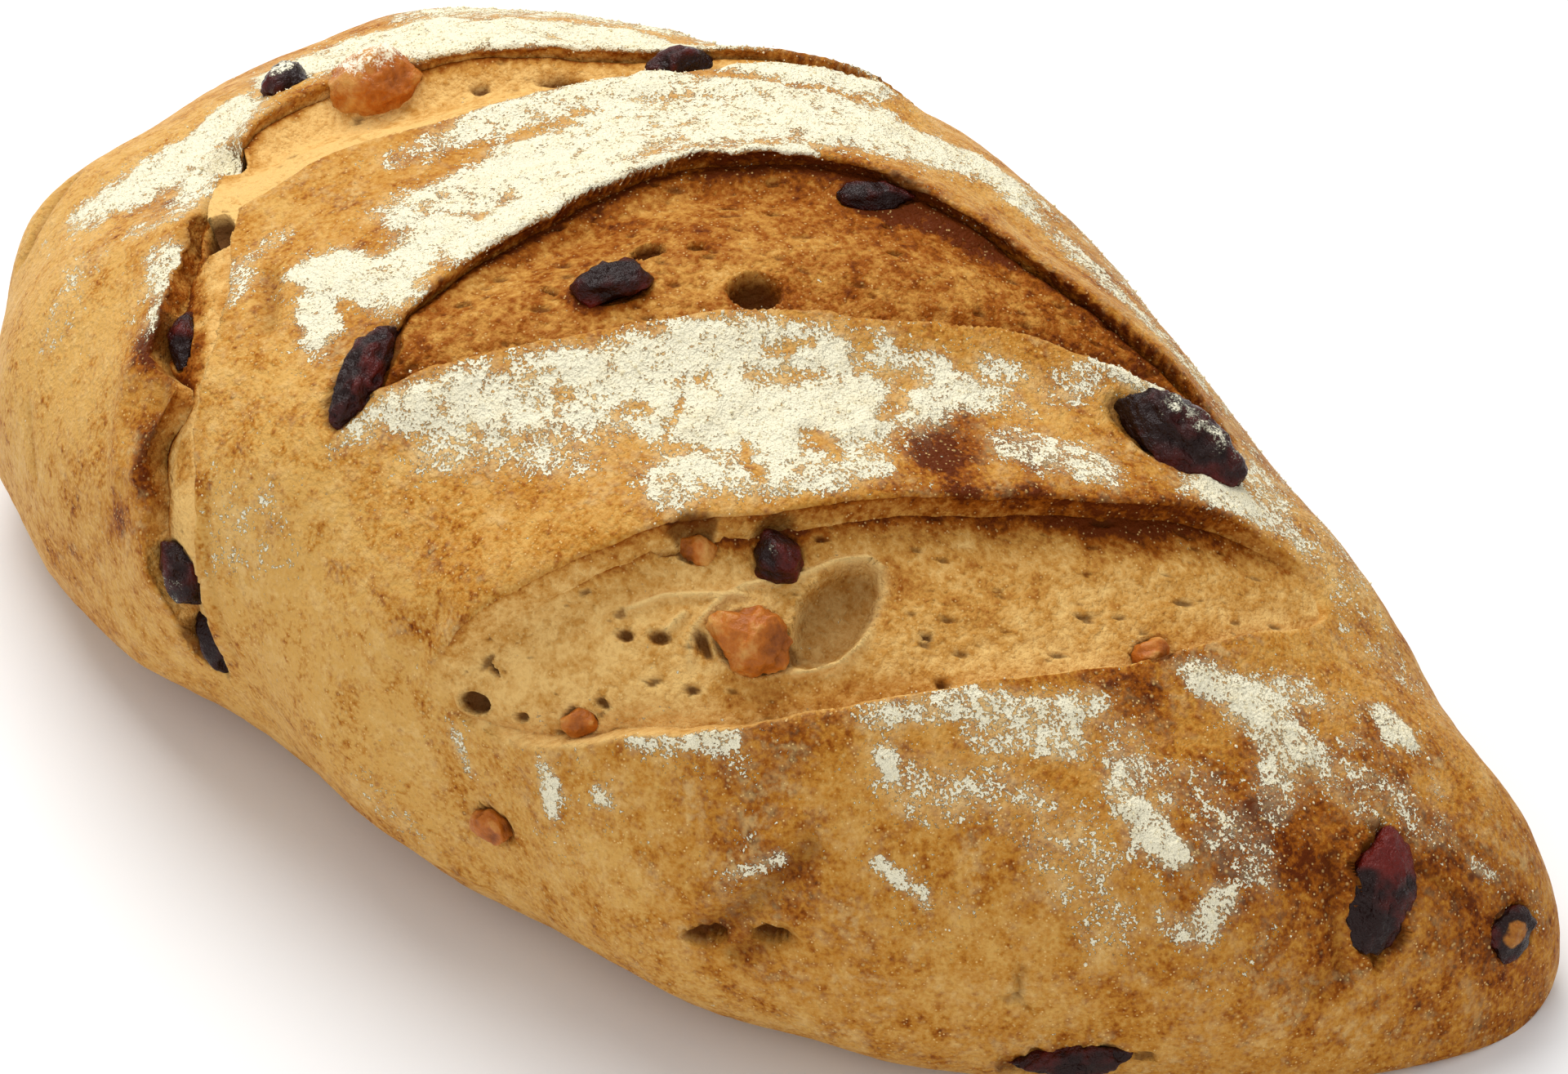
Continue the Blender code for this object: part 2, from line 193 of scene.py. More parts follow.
# Small pits of the crumb, in the same order.
PITS = tuple(Hole("pit", *numbers) for numbers in (
    (25.5, -63.5, 1.3, 0.4, 1.0, -5), (38.5, -47.5, 1.3, 0.8, 1.2, 40),
    (42, -44.5, 1.6, 0.9, 1.1, 45), (46.5, -41, 2.0, 1.0, 1.2, -20),
    (40, -56, 1.1, 0.7, 0.8, 20), (31, -66, 1.2, 0.6, 0.8, 50),
    (36, -36.5, 1.6, 0.9, 1.2, 50), (48.5, -46, 1.1, 0.6, 0.6, 40),
    (68, -22, 0.9, 0.8, 0.9, 50), (63, -19, 0.8, 0.6, 0.8, 50),
    (47, -20.5, 0.9, 0.4, 0.5, 55), (49.5, -9, 1.0, 0.5, 0.7, 58),
    (63, 10, 1.4, 0.6, 0.8, 62), (-3.5, -21, 1.6, 0.6, 1.0, 10),
    (4, -2.5, 1.3, 0.9, 1.2, 50), (-1, 7, 1.6, 0.4, 0.6, 55),
    (14, 21.5, 0.9, 0.5, 0.8, 60), (19, 18, 1.2, 0.5, 0.8, 62),
    (41.5, 25.5, 2.6, 0.7, 1.0, 55), (-50, 19.5, 3.8, 1.0, 1.8, 36),
    (-58, 12, 1.5, 0.8, 1.0, 40),
))

# Fruit and nuts, as their solids are: x, v, half sizes, turn in degrees, and lift of the centre over the crust.
Piece = namedtuple("Piece", "name x v long wide deep turn lift")
CRANBERRIES = (
    Piece("cranberry_crown", 2.0, -15.2, 4.4, 2.9, 2.6, 58, 0.7),
    Piece("cranberry_middle_corner", -12.6, -44.8, 8.0, 3.0, 3.0, -75, 0.2),
    Piece("cranberry_middle_ear", 9.0, 24.0, 4.7, 1.8, 1.8, 58, 1.4),
    Piece("cranberry_band", 57.8, 28.0, 8.6, 4.4, 4.4, 16, 1.4),
    Piece("cranberry_hollow", 45.4, -26.6, 3.1, 2.8, 2.8, -46, 0.8),
    Piece("cranberry_tip", 110.4, -7.6, 7.4, 4.5, 2.7, -58, -1.3),
    Piece("cranberry_point", 117.5, 3.1, 4.0, 2.9, 2.0, 82, -0.5),
    Piece("cranberry_foot", 95.0, -54.0, 6.8, 2.1, 2.1, 43, 0.0),
    Piece("cranberry_torn_high", -46.2, -50.4, 4.4, 2.0, 2.0, -50, 0.0),
    Piece("cranberry_torn_low", -27.4, -80.8, 4.4, 2.6, 2.6, -60, 0.6),
    Piece("cranberry_torn_foot", -24.0, -91.6, 4.2, 2.2, 2.2, -66, 0.4),
    Piece("cranberry_far_corner", -80.6, -3.4, 3.8, 3.0, 2.4, -30, 0.6),
    Piece("cranberry_far_slash", -37.4, 30.6, 4.4, 2.6, 2.6, 53, 3.2),
)
WALNUTS = (
    Piece("walnut_hollow", 50.6, -36.0, 4.9, 3.9, 3.0, 27, 0.6),
    Piece("walnut_near_ear", 38.0, -33.4, 2.8, 2.3, 2.2, 52, 0.2),
    Piece("walnut_far_slash", -69.0, 3.6, 5.7, 4.6, 4.6, 51, 5.0),
    Piece("walnut_near_crest", 78.2, 0.6, 2.7, 1.9, 1.9, 73, 0.2),
    Piece("walnut_flank", 28.7, -84.7, 3.2, 2.4, 2.2, 43, 0.0),
    Piece("walnut_near_corner", 38.2, -60.4, 2.3, 1.7, 1.7, 50, 0.2),
)
# Their lumps, also as in the solids, and the subdivisions of the first cranberry's solid.
CRANBERRY_WRINKLE = 0.20
WALNUT_WRINKLE = 0.32
LUMPS = 5
LUMP_RATE = 1.7
SOLID_DETAIL = 3
# Finer shapes than the solids': size of the folds in mm, share of the finer folds, and flat facets, with how
# far out they lie, how much of what is past them goes and how much larger the piece is before them.
CRANBERRY_FOLD_SIZE = 1.8
CRANBERRY_FACETS = 11
WALNUT_FOLD = 0.7
WALNUT_FOLD_SIZE = 1.7
WALNUT_FACETS = 9
FINER_FOLD = 0.45
FOLD_LEVEL = 0.6
FACET_OUT = (0.66, 0.90)
FACET_CUT = 0.92
FACET_GROWTH = 1.08
# Subdivisions of a big piece's mesh, the long by wide above which it is big, and a smaller one's share of the
# folds.
FRUIT_DETAIL = 5
BIG_PIECE = 14
SMALL_FOLD = 0.75
# Pieces with flour on them and how much, and the share of it that lies all over them.
FLOURED = {
    "cranberry_band": 0.5, "cranberry_far_corner": 0.6, "cranberry_hollow": 0.4, "cranberry_tip": 0.35,
    "cranberry_torn_low": 0.45, "walnut_far_slash": 0.52, "walnut_hollow": 0.3,
}
VEILED = {"walnut_far_slash": 0.6}
# The piece under a scrap of crust, and the one with a thin red end.
SKINNED = "cranberry_point"
RED_ENDED = "cranberry_tip"
# Pockets round pieces: the lift above which a piece has none, how ragged most are and some more so, and the
# height of torn crust round those.
POCKET_LIFT = 2.5
CALM_EDGE = 0.25
RAGGED = {"cranberry_tip": 0.9, "cranberry_foot": 0.8, "cranberry_point": 0.5}
TORN_HEIGHT = 4.6

# The crust mesh: columns over the top and under the base, points along each, how many columns to each side
# they are evened out over, the gap at the loaf's ends and the steps in which columns are measured, and how
# points gather at the cuts.
TOP_COLUMNS = 226
BASE_COLUMNS = 14
COLUMN_POINTS = 400
BLEND_COLUMNS = 9
END_GAP = 0.004
FINE_STEPS = 1600
SLANT = 0.60
SLANT_LIMIT = 0.42
EDGE_PULL = 2.5
EDGE_REACH = 1.2 * MM
INSIDE_SHARE = 0.4
TOP_REACH = 98 * MM

# The rolled lips of the ears, in the order of the cuts, in mm: radius, span of the roll, span of the wall,
# its undercut, its further lean at the cut's round end, the span in which the crust comes back from it, and
# the fillet at its foot. Bright is how pale the cut's near edge is.
Lip = namedtuple("Lip", "radius span wall under lean home fillet bright")
LIPS = (
    Lip(0.35, 0.9, 2.8, -1.0, 2.6, 3.4, 2.2, 1.4),
    Lip(0.4, 0.6, 1.4, 1.6, 0.0, 3.4, 2.4, 0.3),
    Lip(0.5, 0.7, 1.2, 1.8, 0.8, 3.4, 5.2, 0.2),
    Lip(0.3, 0.6, 1.0, -0.4, 0.0, 2.2, 0.6, 0.15),
)
FILLET_REACH = 3.2 * MM

# The small pores of the crumb: least half width and how much more, in mm, lengths and depths as shares of it,
# how far they lean from the cut's direction, and how far from its middle a pore is looked for.
LEAST_PORE = 0.16
PORE_RANGE = 0.42
PORE_LENGTHS = (1.3, 3.2)
PORE_DEPTHS = (0.6, 1.3)
PORE_LEAN = 0.25
PORE_REACH = 3.2 * MM

# The crust beside a cut: how far its brown rim and its brown crest reach and how much browner they are, the rim
# at the far edge being partly real browning of the ear and partly painted shade under its lip, and how far the
# pale line on the near edge reaches and the size of its patches.
RIM_SPAN = 4 * MM
RIM_REACH = 1.6 * MM
BROWN_REACH = 2.0 * MM
RIM_TOAST_AND_SHADE = 0.25
CREST_TOAST = 0.12
PALE_REACH = 0.35 * MM
PALE_SIZE = 2.5 * MM

# The bared crumb, in the order of the cuts: how baked it is, how much more towards the far edge, towards the
# cut's pointed end and right at the far edge, where the darker band is partly real browning and partly painted
# shade under the ear, and how many small pores it has.
Crumb = namedtuple("Crumb", "level rise slope rim pores")
CRUMBS = (
    Crumb(0.20, 0.14, 0.08, 0.66, 90),
    Crumb(0.55, 0.20, 0.10, 0.34, 230),
    Crumb(0.0, 0.20, 0.08, 0.62, 60),
    Crumb(0.04, 0.16, -0.22, 0.55, 16),
)

# Relief of the crust and of the crumb: heights of lumps and grain and their sizes, how long the crumb's lumps
# are drawn along a cut, clumps of thick flour with their sizes and the flour they start from, rims of pits.
CRUST_LUMP = 0.40 * MM
CRUST_LUMP_SIZE = 14 * MM
CRUST_GRAIN = 0.14 * MM
CRUST_GRAIN_SIZE = 2.2 * MM
CRUMB_LUMP = 0.8 * MM
CRUMB_LUMP_SIZE = 6 * MM
CRUMB_GRAIN = 0.16 * MM
CRUMB_GRAIN_SIZE = 1.0 * MM
CRUMB_STRETCH = 3.0
CLUMP_HEIGHT = 0.9 * MM
CLUMP_SIZE = 4.2 * MM
CRUMBLE_SIZE = 1.8 * MM
CLUMP_START = 0.6
PIT_RIM = 0.15 * MM

# How far the crust mesh lies under the crumb inside a cut: everywhere, further in the cut's middle, and how
# much deeper in hollows. Then how far from the near edge it gets there, and how far the crumb reaches under
# the crust's far and near edges.
FLOOR_DROP = 1.0 * MM
MIDDLE_DROP = 1.3 * MM
FLOOR_SINK = 1.15
NEAR_SPAN = 0.9 * MM
CRUMB_TUCK = 2.2 * MM
NEAR_TUCK = 0.6 * MM

# Flour on the crust, as strokes of (x, v, half width in mm, strength): beyond the far slash, on the two bands
# between the slashes, on the near crest, on the near flank and the tip, beside the torn side, and thin on the
# far flank.
FLOUR = (
    ((-84, 8, 6, 1), (-62, 27, 7.5, 1), (-50, 31, 7.5, 1), (-27, 38, 5, 1), (-16, 45, 4, 0.8)),
    ((-87, 0, 4, 1), (-87, 10, 5, 1), (-80, 20, 5, 1)),
    ((-84, -36, 4, 0.8), (-81, -28, 6, 1), (-81, -17, 4, 1), (-85, -10, 3, 0.9)),
    ((-78, -26, 5, 0.9), (-72, -20, 3, 0.8), (-66, -14, 2, 0.4)),
    ((-30, 40, 2, 0.7), (-19, 56, 1, 0.5)),
    ((-36, -36, 2, 0.9), (-30, -34, 4, 1), (-21, -33, 4, 1)),
    ((-28, -40, 2.5, 1), (-23, -43, 2, 0.8)),
    ((-23, -30, 4, 1), (-25, -22, 4, 1)),
    (
        (-31, -19, 5, 0.8), (-26, -8, 7, 1), (-24, 12, 8, 1),
        (-13, 25, 7, 1), (-1, 36, 5.5, 1), (10, 46, 3, 0.9),
    ),
    ((-19, -22, 3, 0.9), (-18, -9, 4, 1), (-10, 8, 4, 1), (-3, 20, 3, 0.9)),
    ((-45, -11, 3, 0.5), (-41, 5, 5, 0.8), (-33, 20, 4, 1), (-15, 34, 3, 0.9), (-8, 40, 2.5, 0.9)),
    ((5, 46, 3, 0.8), (22, 45, 3, 0.7), (36, 46, 2, 0.6), (49, 47, 1.5, 0.4)),
    ((-8, -54, 2, 0.5), (-4, -46, 3.5, 0.8), (6, -37, 5.5, 0.8), (16, -27, 6.5, 0.8)),
    ((4, -48, 2.5, 0.5), (17, -38, 3, 0.5), (21, -34, 3, 0.5)),
    ((16, -21, 5, 1), (22, -8, 4, 1), (27, -3, 4, 0.9)),
    ((23, -24, 4, 1), (31, -15, 6, 1), (37, -5, 4.5, 1)),
    ((31, -30, 3.5, 1), (35, -23, 3, 0.9), (41, -14, 3, 0.7), (43, -9, 2.5, 0.6)),
    ((31, 4, 3, 0.8), (35, 8, 2.5, 0.6), (38, 3, 2.5, 0.8)),
    ((40, 2, 3, 0.8), (40, 7, 3, 0.8), (45, 13, 2.5, 0.6)),
    ((40, 15, 2, 0.5), (46, 19, 2.5, 0.5), (46, 25, 2, 0.6)),
    ((50, 8, 2.5, 0.5), (57, 15, 3, 0.6)),
    ((44, 28, 1, 0.8), (49, 32, 2, 1), (52, 35, 1.5, 0.9)),
    ((65, 28, 3, 1), (70, 32, 2.5, 0.6)),
    ((62, 39, 3, 0.6), (66, 37, 3, 0.7), (74, 33, 2, 0.5)),
    ((46, -55, 1.7, 0.7), (51, -50, 2, 0.8), (55, -46, 1.3, 0.7)),
    ((65, -33, 1.5, 0.5), (71, -24, 2, 0.7), (78, -15, 2.5, 0.7), (79, -11, 1.5, 0.5)),
    ((80, -17, 3, 0.7), (75, -25, 1.7, 0.4)),
    ((70, -35, 1.5, 0.8),),
    ((88, -18, 1.5, 0.7), (94, -20, 2.3, 1), (96, -21, 1.5, 0.8)),
    ((84, 2, 2.5, 0.6), (89, 4, 3.5, 0.7), (95, 1, 3, 0.7), (99, -8, 1.5, 0.45)),
    ((84, -12, 3, 0.36), (89, -15, 3, 0.48), (93, -11, 3, 0.42), (97, -13, 3, 0.48), (101, -16, 3, 0.42)),
    ((74, -36, 3, 0.4), (80, -28, 4, 0.42), (86, -28, 4, 0.36), (94, -32, 4, 0.36)),
    ((100, 2, 4, 0.4), (106, 5, 4, 0.4)),
    ((90, 10, 3, 0.5),),
    ((96, 17, 1.5, 0.8), (99, 15, 1.5, 0.8)),
    ((102, -21, 1.5, 0.8), (102, -26, 1.5, 0.75), (99, -27, 1.2, 0.4)),
    ((75, -45, 1.2, 0.6), (79, -44, 1.4, 0.7)),
    ((65, -52, 0.8, 0.6), (61, -61, 0.9, 0.5)),
    ((37, -69, 1.5, 0.7), (38, -72, 1.3, 0.7)),
    ((45, -64, 1.4, 0.7),),
    ((23, -74, 1, 0.7), (25, -77, 1.2, 0.4)),
    ((10, -93, 3.5, 0.3), (15, -94, 3, 0.25)),
    ((-20, -66, 5, 0.3), (-13, -68, 5, 0.3), (-18, -74, 4, 0.25)),
    ((-62, -39, 2, 0.6), (-54, -44, 3, 0.9), (-50, -47, 3, 0.9), (-46, -48, 2, 0.7)),
    ((-70, -37, 2, 0.5), (-66, -33, 2, 0.6), (-70, -27, 2.4, 0.9), (-73, -21, 2.4, 0.6)),
    ((-45, -39, 3, 0.6), (-42, -43, 2, 0.5)),
    ((-45, -33, 3, 0.4),),
    ((-73, -45, 4, 0.3), (-69, -54, 4, 0.25)),
    ((-28, -81, 1.3, 0.8), (-26, -82, 1, 0.6)),
    ((113, 6, 1, 0.6),),
    ((105, 11, 1, 0.5),),
    ((97, 9, 1.4, 0.4),),
    ((75, 36, 2, 0.4),),
    ((-88, 30, 8, 0.6), (-74, 44, 9, 0.7), (-52, 54, 9, 0.6), (-30, 62, 7, 0.4)),
    ((14, 58, 7, 0.4), (38, 58, 7, 0.35), (66, 46, 6, 0.35), (88, 28, 5, 0.35)),
)

# How far the flour's edges drift and the size of the drift, the sizes of its patches and spots, and the thin
# dusting round its strokes: how many mm wider it is and how strong.
FLOUR_DRIFT = 1.6 * MM
DRIFT_SIZE = 4 * MM
PATCH_SIZE = 8 * MM
SPOT_SIZE = 2.6 * MM
HALO_SPREAD = 4.5
HALO = 0.46

# Loose grains: the chance of a stray one anywhere on top, how far they lie from the mesh's points in mm, their
# lift as a share of their size, how much that varies, and how far out their corners are as shares of it.
STRAY = 0.0005
GRAIN_SPREAD = 0.35
GRAIN_LIFT = 0.35
GRAIN_VARIES = 0.4
GRAIN_CORNERS = (0.6, 1.3)

# Bare gaps in the flour, as strokes of (x, v, half width in mm, strength).
GAPS = (
    ((23, -22, 0.9, 0.9), (25, -26, 0.8, 0.9)),
    ((32, -20, 0.6, 0.9), (35, -22, 0.5, 0.9), (37, -22, 0.6, 0.9)),
    ((36, -13, 1.4, 0.9), (39, -12, 1.2, 0.8)),
    ((37, -7, 0.9, 0.8),),
    ((37, 3, 1.3, 0.9), (39, -2, 1.5, 0.9)),
    ((25, 2, 1.1, 0.8), (29, 3, 1.3, 0.8)),
    ((24, -8, 1.0, 0.7), (25, -3, 1.1, 0.8)),
    ((32, 8, 1.3, 0.8), (34, 11, 1.4, 0.8)),
    ((19, -29, 1.2, 0.6), (21, -27, 1.2, 0.7)),
    ((12, -32, 1.0, 0.5),),
    ((20, -20, 0.4, 0.6), (23, -17, 0.4, 0.7)),
    ((-84, -24, 1.5, 0.6),),
)

# Toasted and pale areas of the crust: x, v, reach in mm, and how much darker or paler than plain golden. The
# wide pale area at the left end is painted light.
PLAIN_TOAST = 0.34
TOAST_AND_PAINTED_LIGHT = (
    (112, -4, 26, 0.26), (96, -34, 22, 0.06), (65, -55, 9, 0.22), (62, -66, 5, 0.35), (58, -72, 4, 0.2),
    (84, -8, 14, 0.10), (46.5, -2, 3.4, 0.85), (48, 3, 4, 0.4), (42.5, 5, 3, 0.3),
    (-40.6, -76.6, 3.0, 0.55), (-34.5, -64.5, 4.0, 0.50), (-72, -32, 4, 0.45), (-51, -50, 4, 0.45),
    (-48, -55, 4, 0.4), (-45, -53, 4, 0.45), (-43, -62, 4, 0.4), (-38, -69, 4, 0.35),
    (-22, -67, 5, -0.2), (-49, -43, 3, 0.3), (52, -2, 2.5, 0.35), (56, 6, 2.5, 0.3), (98, 11, 7, 0.12),
    (97, -12, 9, 0.12), (62, -88, 12, -0.14), (-18, -42, 5, 0.25), (-36, -12, 9, 0.12),
    (10, -80, 28, -0.16), (-12, -70, 26, -0.18), (-70, -60, 30, -0.2), (-50, -60, 14, -0.05),
    (74, -58, 9, 0.10), (50, -76, 14, -0.04), (-84, -28, 5, 0.15), (66, 22, 10, 0.2),
    (104, -12, 8, 0.22), (117, 2, 8, 0.2), (30, 47, 9, 0.12), (56, 42, 10, 0.16), (-62, -42, 5, 0.25),
    (72, -30, 6, 0.2), (60, -40, 5, 0.2), (80, -7, 6, 0.2), (-85, -20, 14, -0.1), (-45, -5, 8, 0.15),
    # Painted light: the first area on the next line makes the left end paler, where it faces away from the
    # lights.
    (-95, -45, 30, -0.24), (-30, -26, 6, 0.15), (8, -58, 12, 0.1), (30, -50, 10, 0.05),
    (52, 10, 4, 0.3), (-55, 15, 8, 0.2),
)

# Redder stains on the crumb, as how much browner they are and strokes of (x, v, half width in mm, strength).
STAIN_TOAST = 0.5
STAINS = (
    ((1.0, -18.5, 2.6, 0.7), (5.0, -14.0, 1.8, 0.5)),
    ((14.5, -4.0, 2.4, 0.5), (17.0, 0.5, 2.2, 0.4)),
    ((9.0, 22.0, 2.0, 0.6), (16.0, 28.0, 2.0, 0.6), (26.0, 33.0, 2.0, 0.5)),
    ((40.0, 24.0, 3.0, 0.6), (48.0, 33.0, 3.0, 0.5)),
    ((44.0, -24.0, 2.4, 0.6), (38.0, -30.0, 2.4, 0.5)),
    ((60.0, 8.0, 3.0, 0.5), (66.0, 14.0, 3.0, 0.5)),
    ((27.0, -50.0, 1.6, 0.6), (32.0, -41.0, 1.6, 0.6)),
    ((52.0, -43.0, 1.8, 0.35), (60.0, -34.0, 1.8, 0.35), (70.0, -21.0, 1.8, 0.35)),
    ((-39, -63, 1.6, 0.9), (-38.5, -67, 1.8, 1), (-38, -71, 1.4, 0.9)),
    ((-34, -64, 1.8, 0.5), (-32, -67, 1.6, 0.4)),
    ((-44, -50, 2, 1), (-40, -55, 2, 1)),
    ((-52, -43, 2, 0.5), (-48, -47, 2, 0.6)),
)

# Strings of dough stretched over the crumb beside the hollow: half width in mm, height, how pale they are
# (partly pale stretched dough, partly a painted highlight along the hollow's lit rim), and lines of places as x
# and v, in mm.
STRING_HALF = 0.4
STRING_HEIGHT = 0.8 * MM
STRING_PALE_AND_HIGHLIGHT = 1.6
STRINGS = (
    ((53.7, -17.1), (55.8, -18.6), (57.6, -22.3), (59.0, -26.3), (58.9, -30.0), (56.3, -34.9)),
    ((45.3, -31.9), (46.9, -29.1), (48.8, -25.4), (49.9, -21.1), (51.8, -17.5), (53.7, -17.1)),
    ((45.3, -31.9), (44.5, -35.6), (44.5, -39.5), (45.3, -42.5), (46.5, -43.6)),
    ((42.6, -40.1), (42.2, -43.2)),
    ((46.0, -33.0), (43.0, -36.5), (39.5, -40.5), (37.0, -45.0)),
)

# The camera: what it aims at, its turn and rise in degrees, its distance, its lens and sensor in mm, the
# nearest that it sees, and the way from the loaf to it.
CAMERA_AIM = (0.01315, 0.0025, 0.0287)
CAMERA_TURN = 47.207
CAMERA_RISE = 38.191
CAMERA_DISTANCE = 0.864
CAMERA_LENS = 155.15
SENSOR_WIDTH = 36.0
NEAREST = 0.01
TURN, RISE = math.radians(CAMERA_TURN), math.radians(CAMERA_RISE)
VIEW = np.array((math.sin(TURN) * math.cos(RISE), -math.cos(TURN) * math.cos(RISE), math.sin(RISE)))

# The stage: size of the floor, and the soft lights with their place, size and share of the key light's power.
FLOOR_SIZE = 6.0
LIGHTS_AIM = (0, 0, 0.03)
LIGHTS = (
    ("key", (-0.50, 0.20, 0.90), 0.8, 1.0),
    ("side", (0.75, -0.75, 0.75), 0.9, 0.28),
)

# Creases, cracks and ridges of the crust: places as x and v, depth (below zero for a ridge), half width and the
# strength of the painted shade laid in them.
CREASES = (
    (((68.1, -48.6), (66.0, -54.9), (63.2, -62.4), (58.9, -70.6)), 0.9, 1.3, 0.45),
    (((65.6, -47.6), (63.6, -54.0), (61.0, -61.1), (57.6, -66.0)), -0.8, 1.2, 0.0),
    (((61.8, -70.8), (65.7, -64.7), (68.1, -61.0)), 0.8, 1.1, 0.5),
    (((90, -43), (90, -45.5), (90, -47.5)), 0.4, 0.34, 0.6),
    (((90, -47.5), (91, -48)), 0.4, 0.34, 0.5),
    (((90, -47.5), (89, -49)), 0.4, 0.34, 0.5),
    (((105.5, -7.6), (108.0, -12.0), (111.8, -17.7)), 0.5, 0.8, 0.35),
    (((111.8, -17.7), (110.8, -22.8)), 0.5, 0.9, 0.25),
    (((105.5, -0.4), (109.0, -1.6), (113.6, 0.0)), 0.5, 0.8, 0.35),
    (((-68.4, -65.9), (-65.3, -70.8), (-63.2, -74.9)), 0.5, 0.9, 0.15),
    (((-24.5, -67.7), (-20.0, -79.7), (-15.4, -87.8)), 0.5, 1.0, 0.12),
    (((-102, -30), (-100, -36), (-97, -43)), 2.0, 1.6, 0.6),
    (((-32.0, -45.0), (-36.0, -41.0), (-40.0, -38.0)), 0.9, 1.4, 0.35),
    (((17.0, -62.0), (15.0, -70.0), (11.3, -79.0)), 0.7, 2.0, 0.0),
    (((-46, -52), (-41, -58), (-38, -66), (-33, -74)), 1.4, 1.9, 0.30),
    (((-49, -57), (-45, -64), (-42, -71)), -0.7, 1.6, 0.0),
    (((-58, -40), (-54, -38), (-50, -41)), 1.2, 1.3, 0.5),
    (((-66, -27), (-62, -32), (-60, -37)), 1.2, 1.2, 0.4),
    (((-50.0, -46.0), (-48.0, -50.0), (-45.0, -54.0)), -1.0, 1.6, 0.0),
    (((-38.6, -69.1), (-38.6, -62.1), (-36.3, -57.4)), -0.9, 1.8, 0.0),
)


def through(t, values):
    """The smooth curve through the values at the five stations, read at t."""
    return np.polyval(np.polyfit(STATIONS, values, len(STATIONS) - 1), t)


def plain_form(t, angle):
    """Points of the plain loaf, t from -1 to 1 along it and an angle round it: 0 far side, 90 top."""
    t = np.asarray(t, float)
    room = np.clip(1 - t * t, 0, 1)
    half = WIDTH / 2 * room ** WIDTH_POWER * through(t, WIDTH_SHARES)
    top = HEIGHT * room ** HEIGHT_POWER * through(t, HEIGHT_SHARES)
    out, up = np.cos(angle), np.sin(angle)
    y = through(t, CENTRE_LINE) + half * np.sign(out) * np.abs(out) ** TOP_POWER
    waist = WAIST_SHARE * top
    over = waist + (top - waist) * np.abs(up) ** TOP_POWER
    under = np.maximum(waist - BASE_FLAT * waist * np.abs(up) ** BASE_POWER, 0)
    return np.stack([LENGTH / 2 * t + 0 * y, y, np.where(up >= 0, over, under)], -1)


def unroll():
    """The table of v at places along the loaf and angles round it."""
    along = -np.cos(np.linspace(0.0, math.pi, UNROLL_ROWS))
    angles = np.linspace(-math.pi / 2, 1.5 * math.pi, UNROLL_ANGLES)
    points = plain_form(along[:, None] + 0 * angles, angles + 0 * along[:, None])
    steps = np.linalg.norm(np.diff(points, axis=1), axis=-1)
    round_it = np.concatenate([np.zeros((len(along), 1)), np.cumsum(steps, axis=1)], axis=1)
    crown = round_it[:, [UNROLL_ANGLES // 2]]
    return along, angles, crown - round_it


ALONG, ANGLES, ACROSS = unroll()
TABLE_T = np.linspace(-1, 1, TABLE_ROWS)
TABLE_V = np.linspace(-TABLE_REACH, TABLE_REACH, TABLE_COLUMNS)


def read_table(table, row, column):
    """The table's values between its rows and columns."""
    row, column = np.broadcast_arrays(row, column)
    row = np.clip(row, 0, table.shape[0] - 1.001)
    column = np.clip(column, 0, table.shape[1] - 1.001)
    i, j = row.astype(int), column.astype(int)
    a, b = row - i, column - j
    low = table[i, j] * (1 - b) + table[i, j + 1] * b
    high = table[i + 1, j] * (1 - b) + table[i + 1, j + 1] * b
    return low * (1 - a) + high * a


def across_of(t, angle):
    """How far across the crust an angle round the loaf lies."""
    row = np.interp(t, ALONG, np.arange(len(ALONG)))
    column = np.interp(angle, ANGLES, np.arange(len(ANGLES)))
    return read_table(ACROSS, row, column)


def angle_table():
    """The angles round the loaf at even steps of t and v."""
    rows = np.interp(TABLE_T, ALONG, np.arange(len(ALONG)))
    low = np.minimum(rows.astype(int), len(ALONG) - 2)
    across = ACROSS[low] + (rows - low)[:, None] * (ACROSS[low + 1] - ACROSS[low])
    return np.stack([np.interp(-TABLE_V, -row, ANGLES) for row in across])


ANGLE_TABLE = angle_table()


def angle_of(t, v):
    """The angle round the loaf that lies v across the crust."""
    row = (np.asarray(t) + 1) / 2 * (len(TABLE_T) - 1)
    column = (np.asarray(v) / (2 * TABLE_V[-1]) + 0.5) * (len(TABLE_V) - 1)
    return read_table(ANGLE_TABLE, row, column)


def unit(vectors):
    """The vectors at length one."""
    return vectors / (np.linalg.norm(vectors, axis=-1, keepdims=True) + 1e-12)


def frame_on(x, v, angle):
    """Points of the plain loaf at x, v and their angle, and directions along, across and out of its crust."""
    t = np.clip(x / (LENGTH / 2), STEP - 1, 1 - STEP)
    point = plain_form(x / (LENGTH / 2), angle)
    along = plain_form(t + STEP, angle_of(t + STEP, v)) - plain_form(t - STEP, angle_of(t - STEP, v))
    length = plain_form(t + STEP, angle) - plain_form(t - STEP, angle)
    round_it = plain_form(t, angle - STEP) - plain_form(t, angle + STEP)
    out = unit(np.cross(length, round_it))
    along = unit(along)
    return point, along, unit(np.cross(out, along)), out


def seen(x, v, height, along, across, out):
    """The places of the plain loaf that raised places hide from the camera: flour is laid out on those."""
    facing = np.clip(out @ VIEW, 0.4, 1)
    return x - height * (along @ VIEW) / facing, v - height * (across @ VIEW) / facing


def smooth(value):
    """A smooth rise from 0 to 1 as the value goes from 0 to 1."""
    value = np.clip(value, 0, 1)
    return value * value * (3 - 2 * value)


def bell(value, width):
    """One where the value is zero, falling off smoothly on both sides of it."""
    return np.exp(-(value / width) ** 2)


LATTICE = np.random.default_rng(7).random((32, 32, 32))


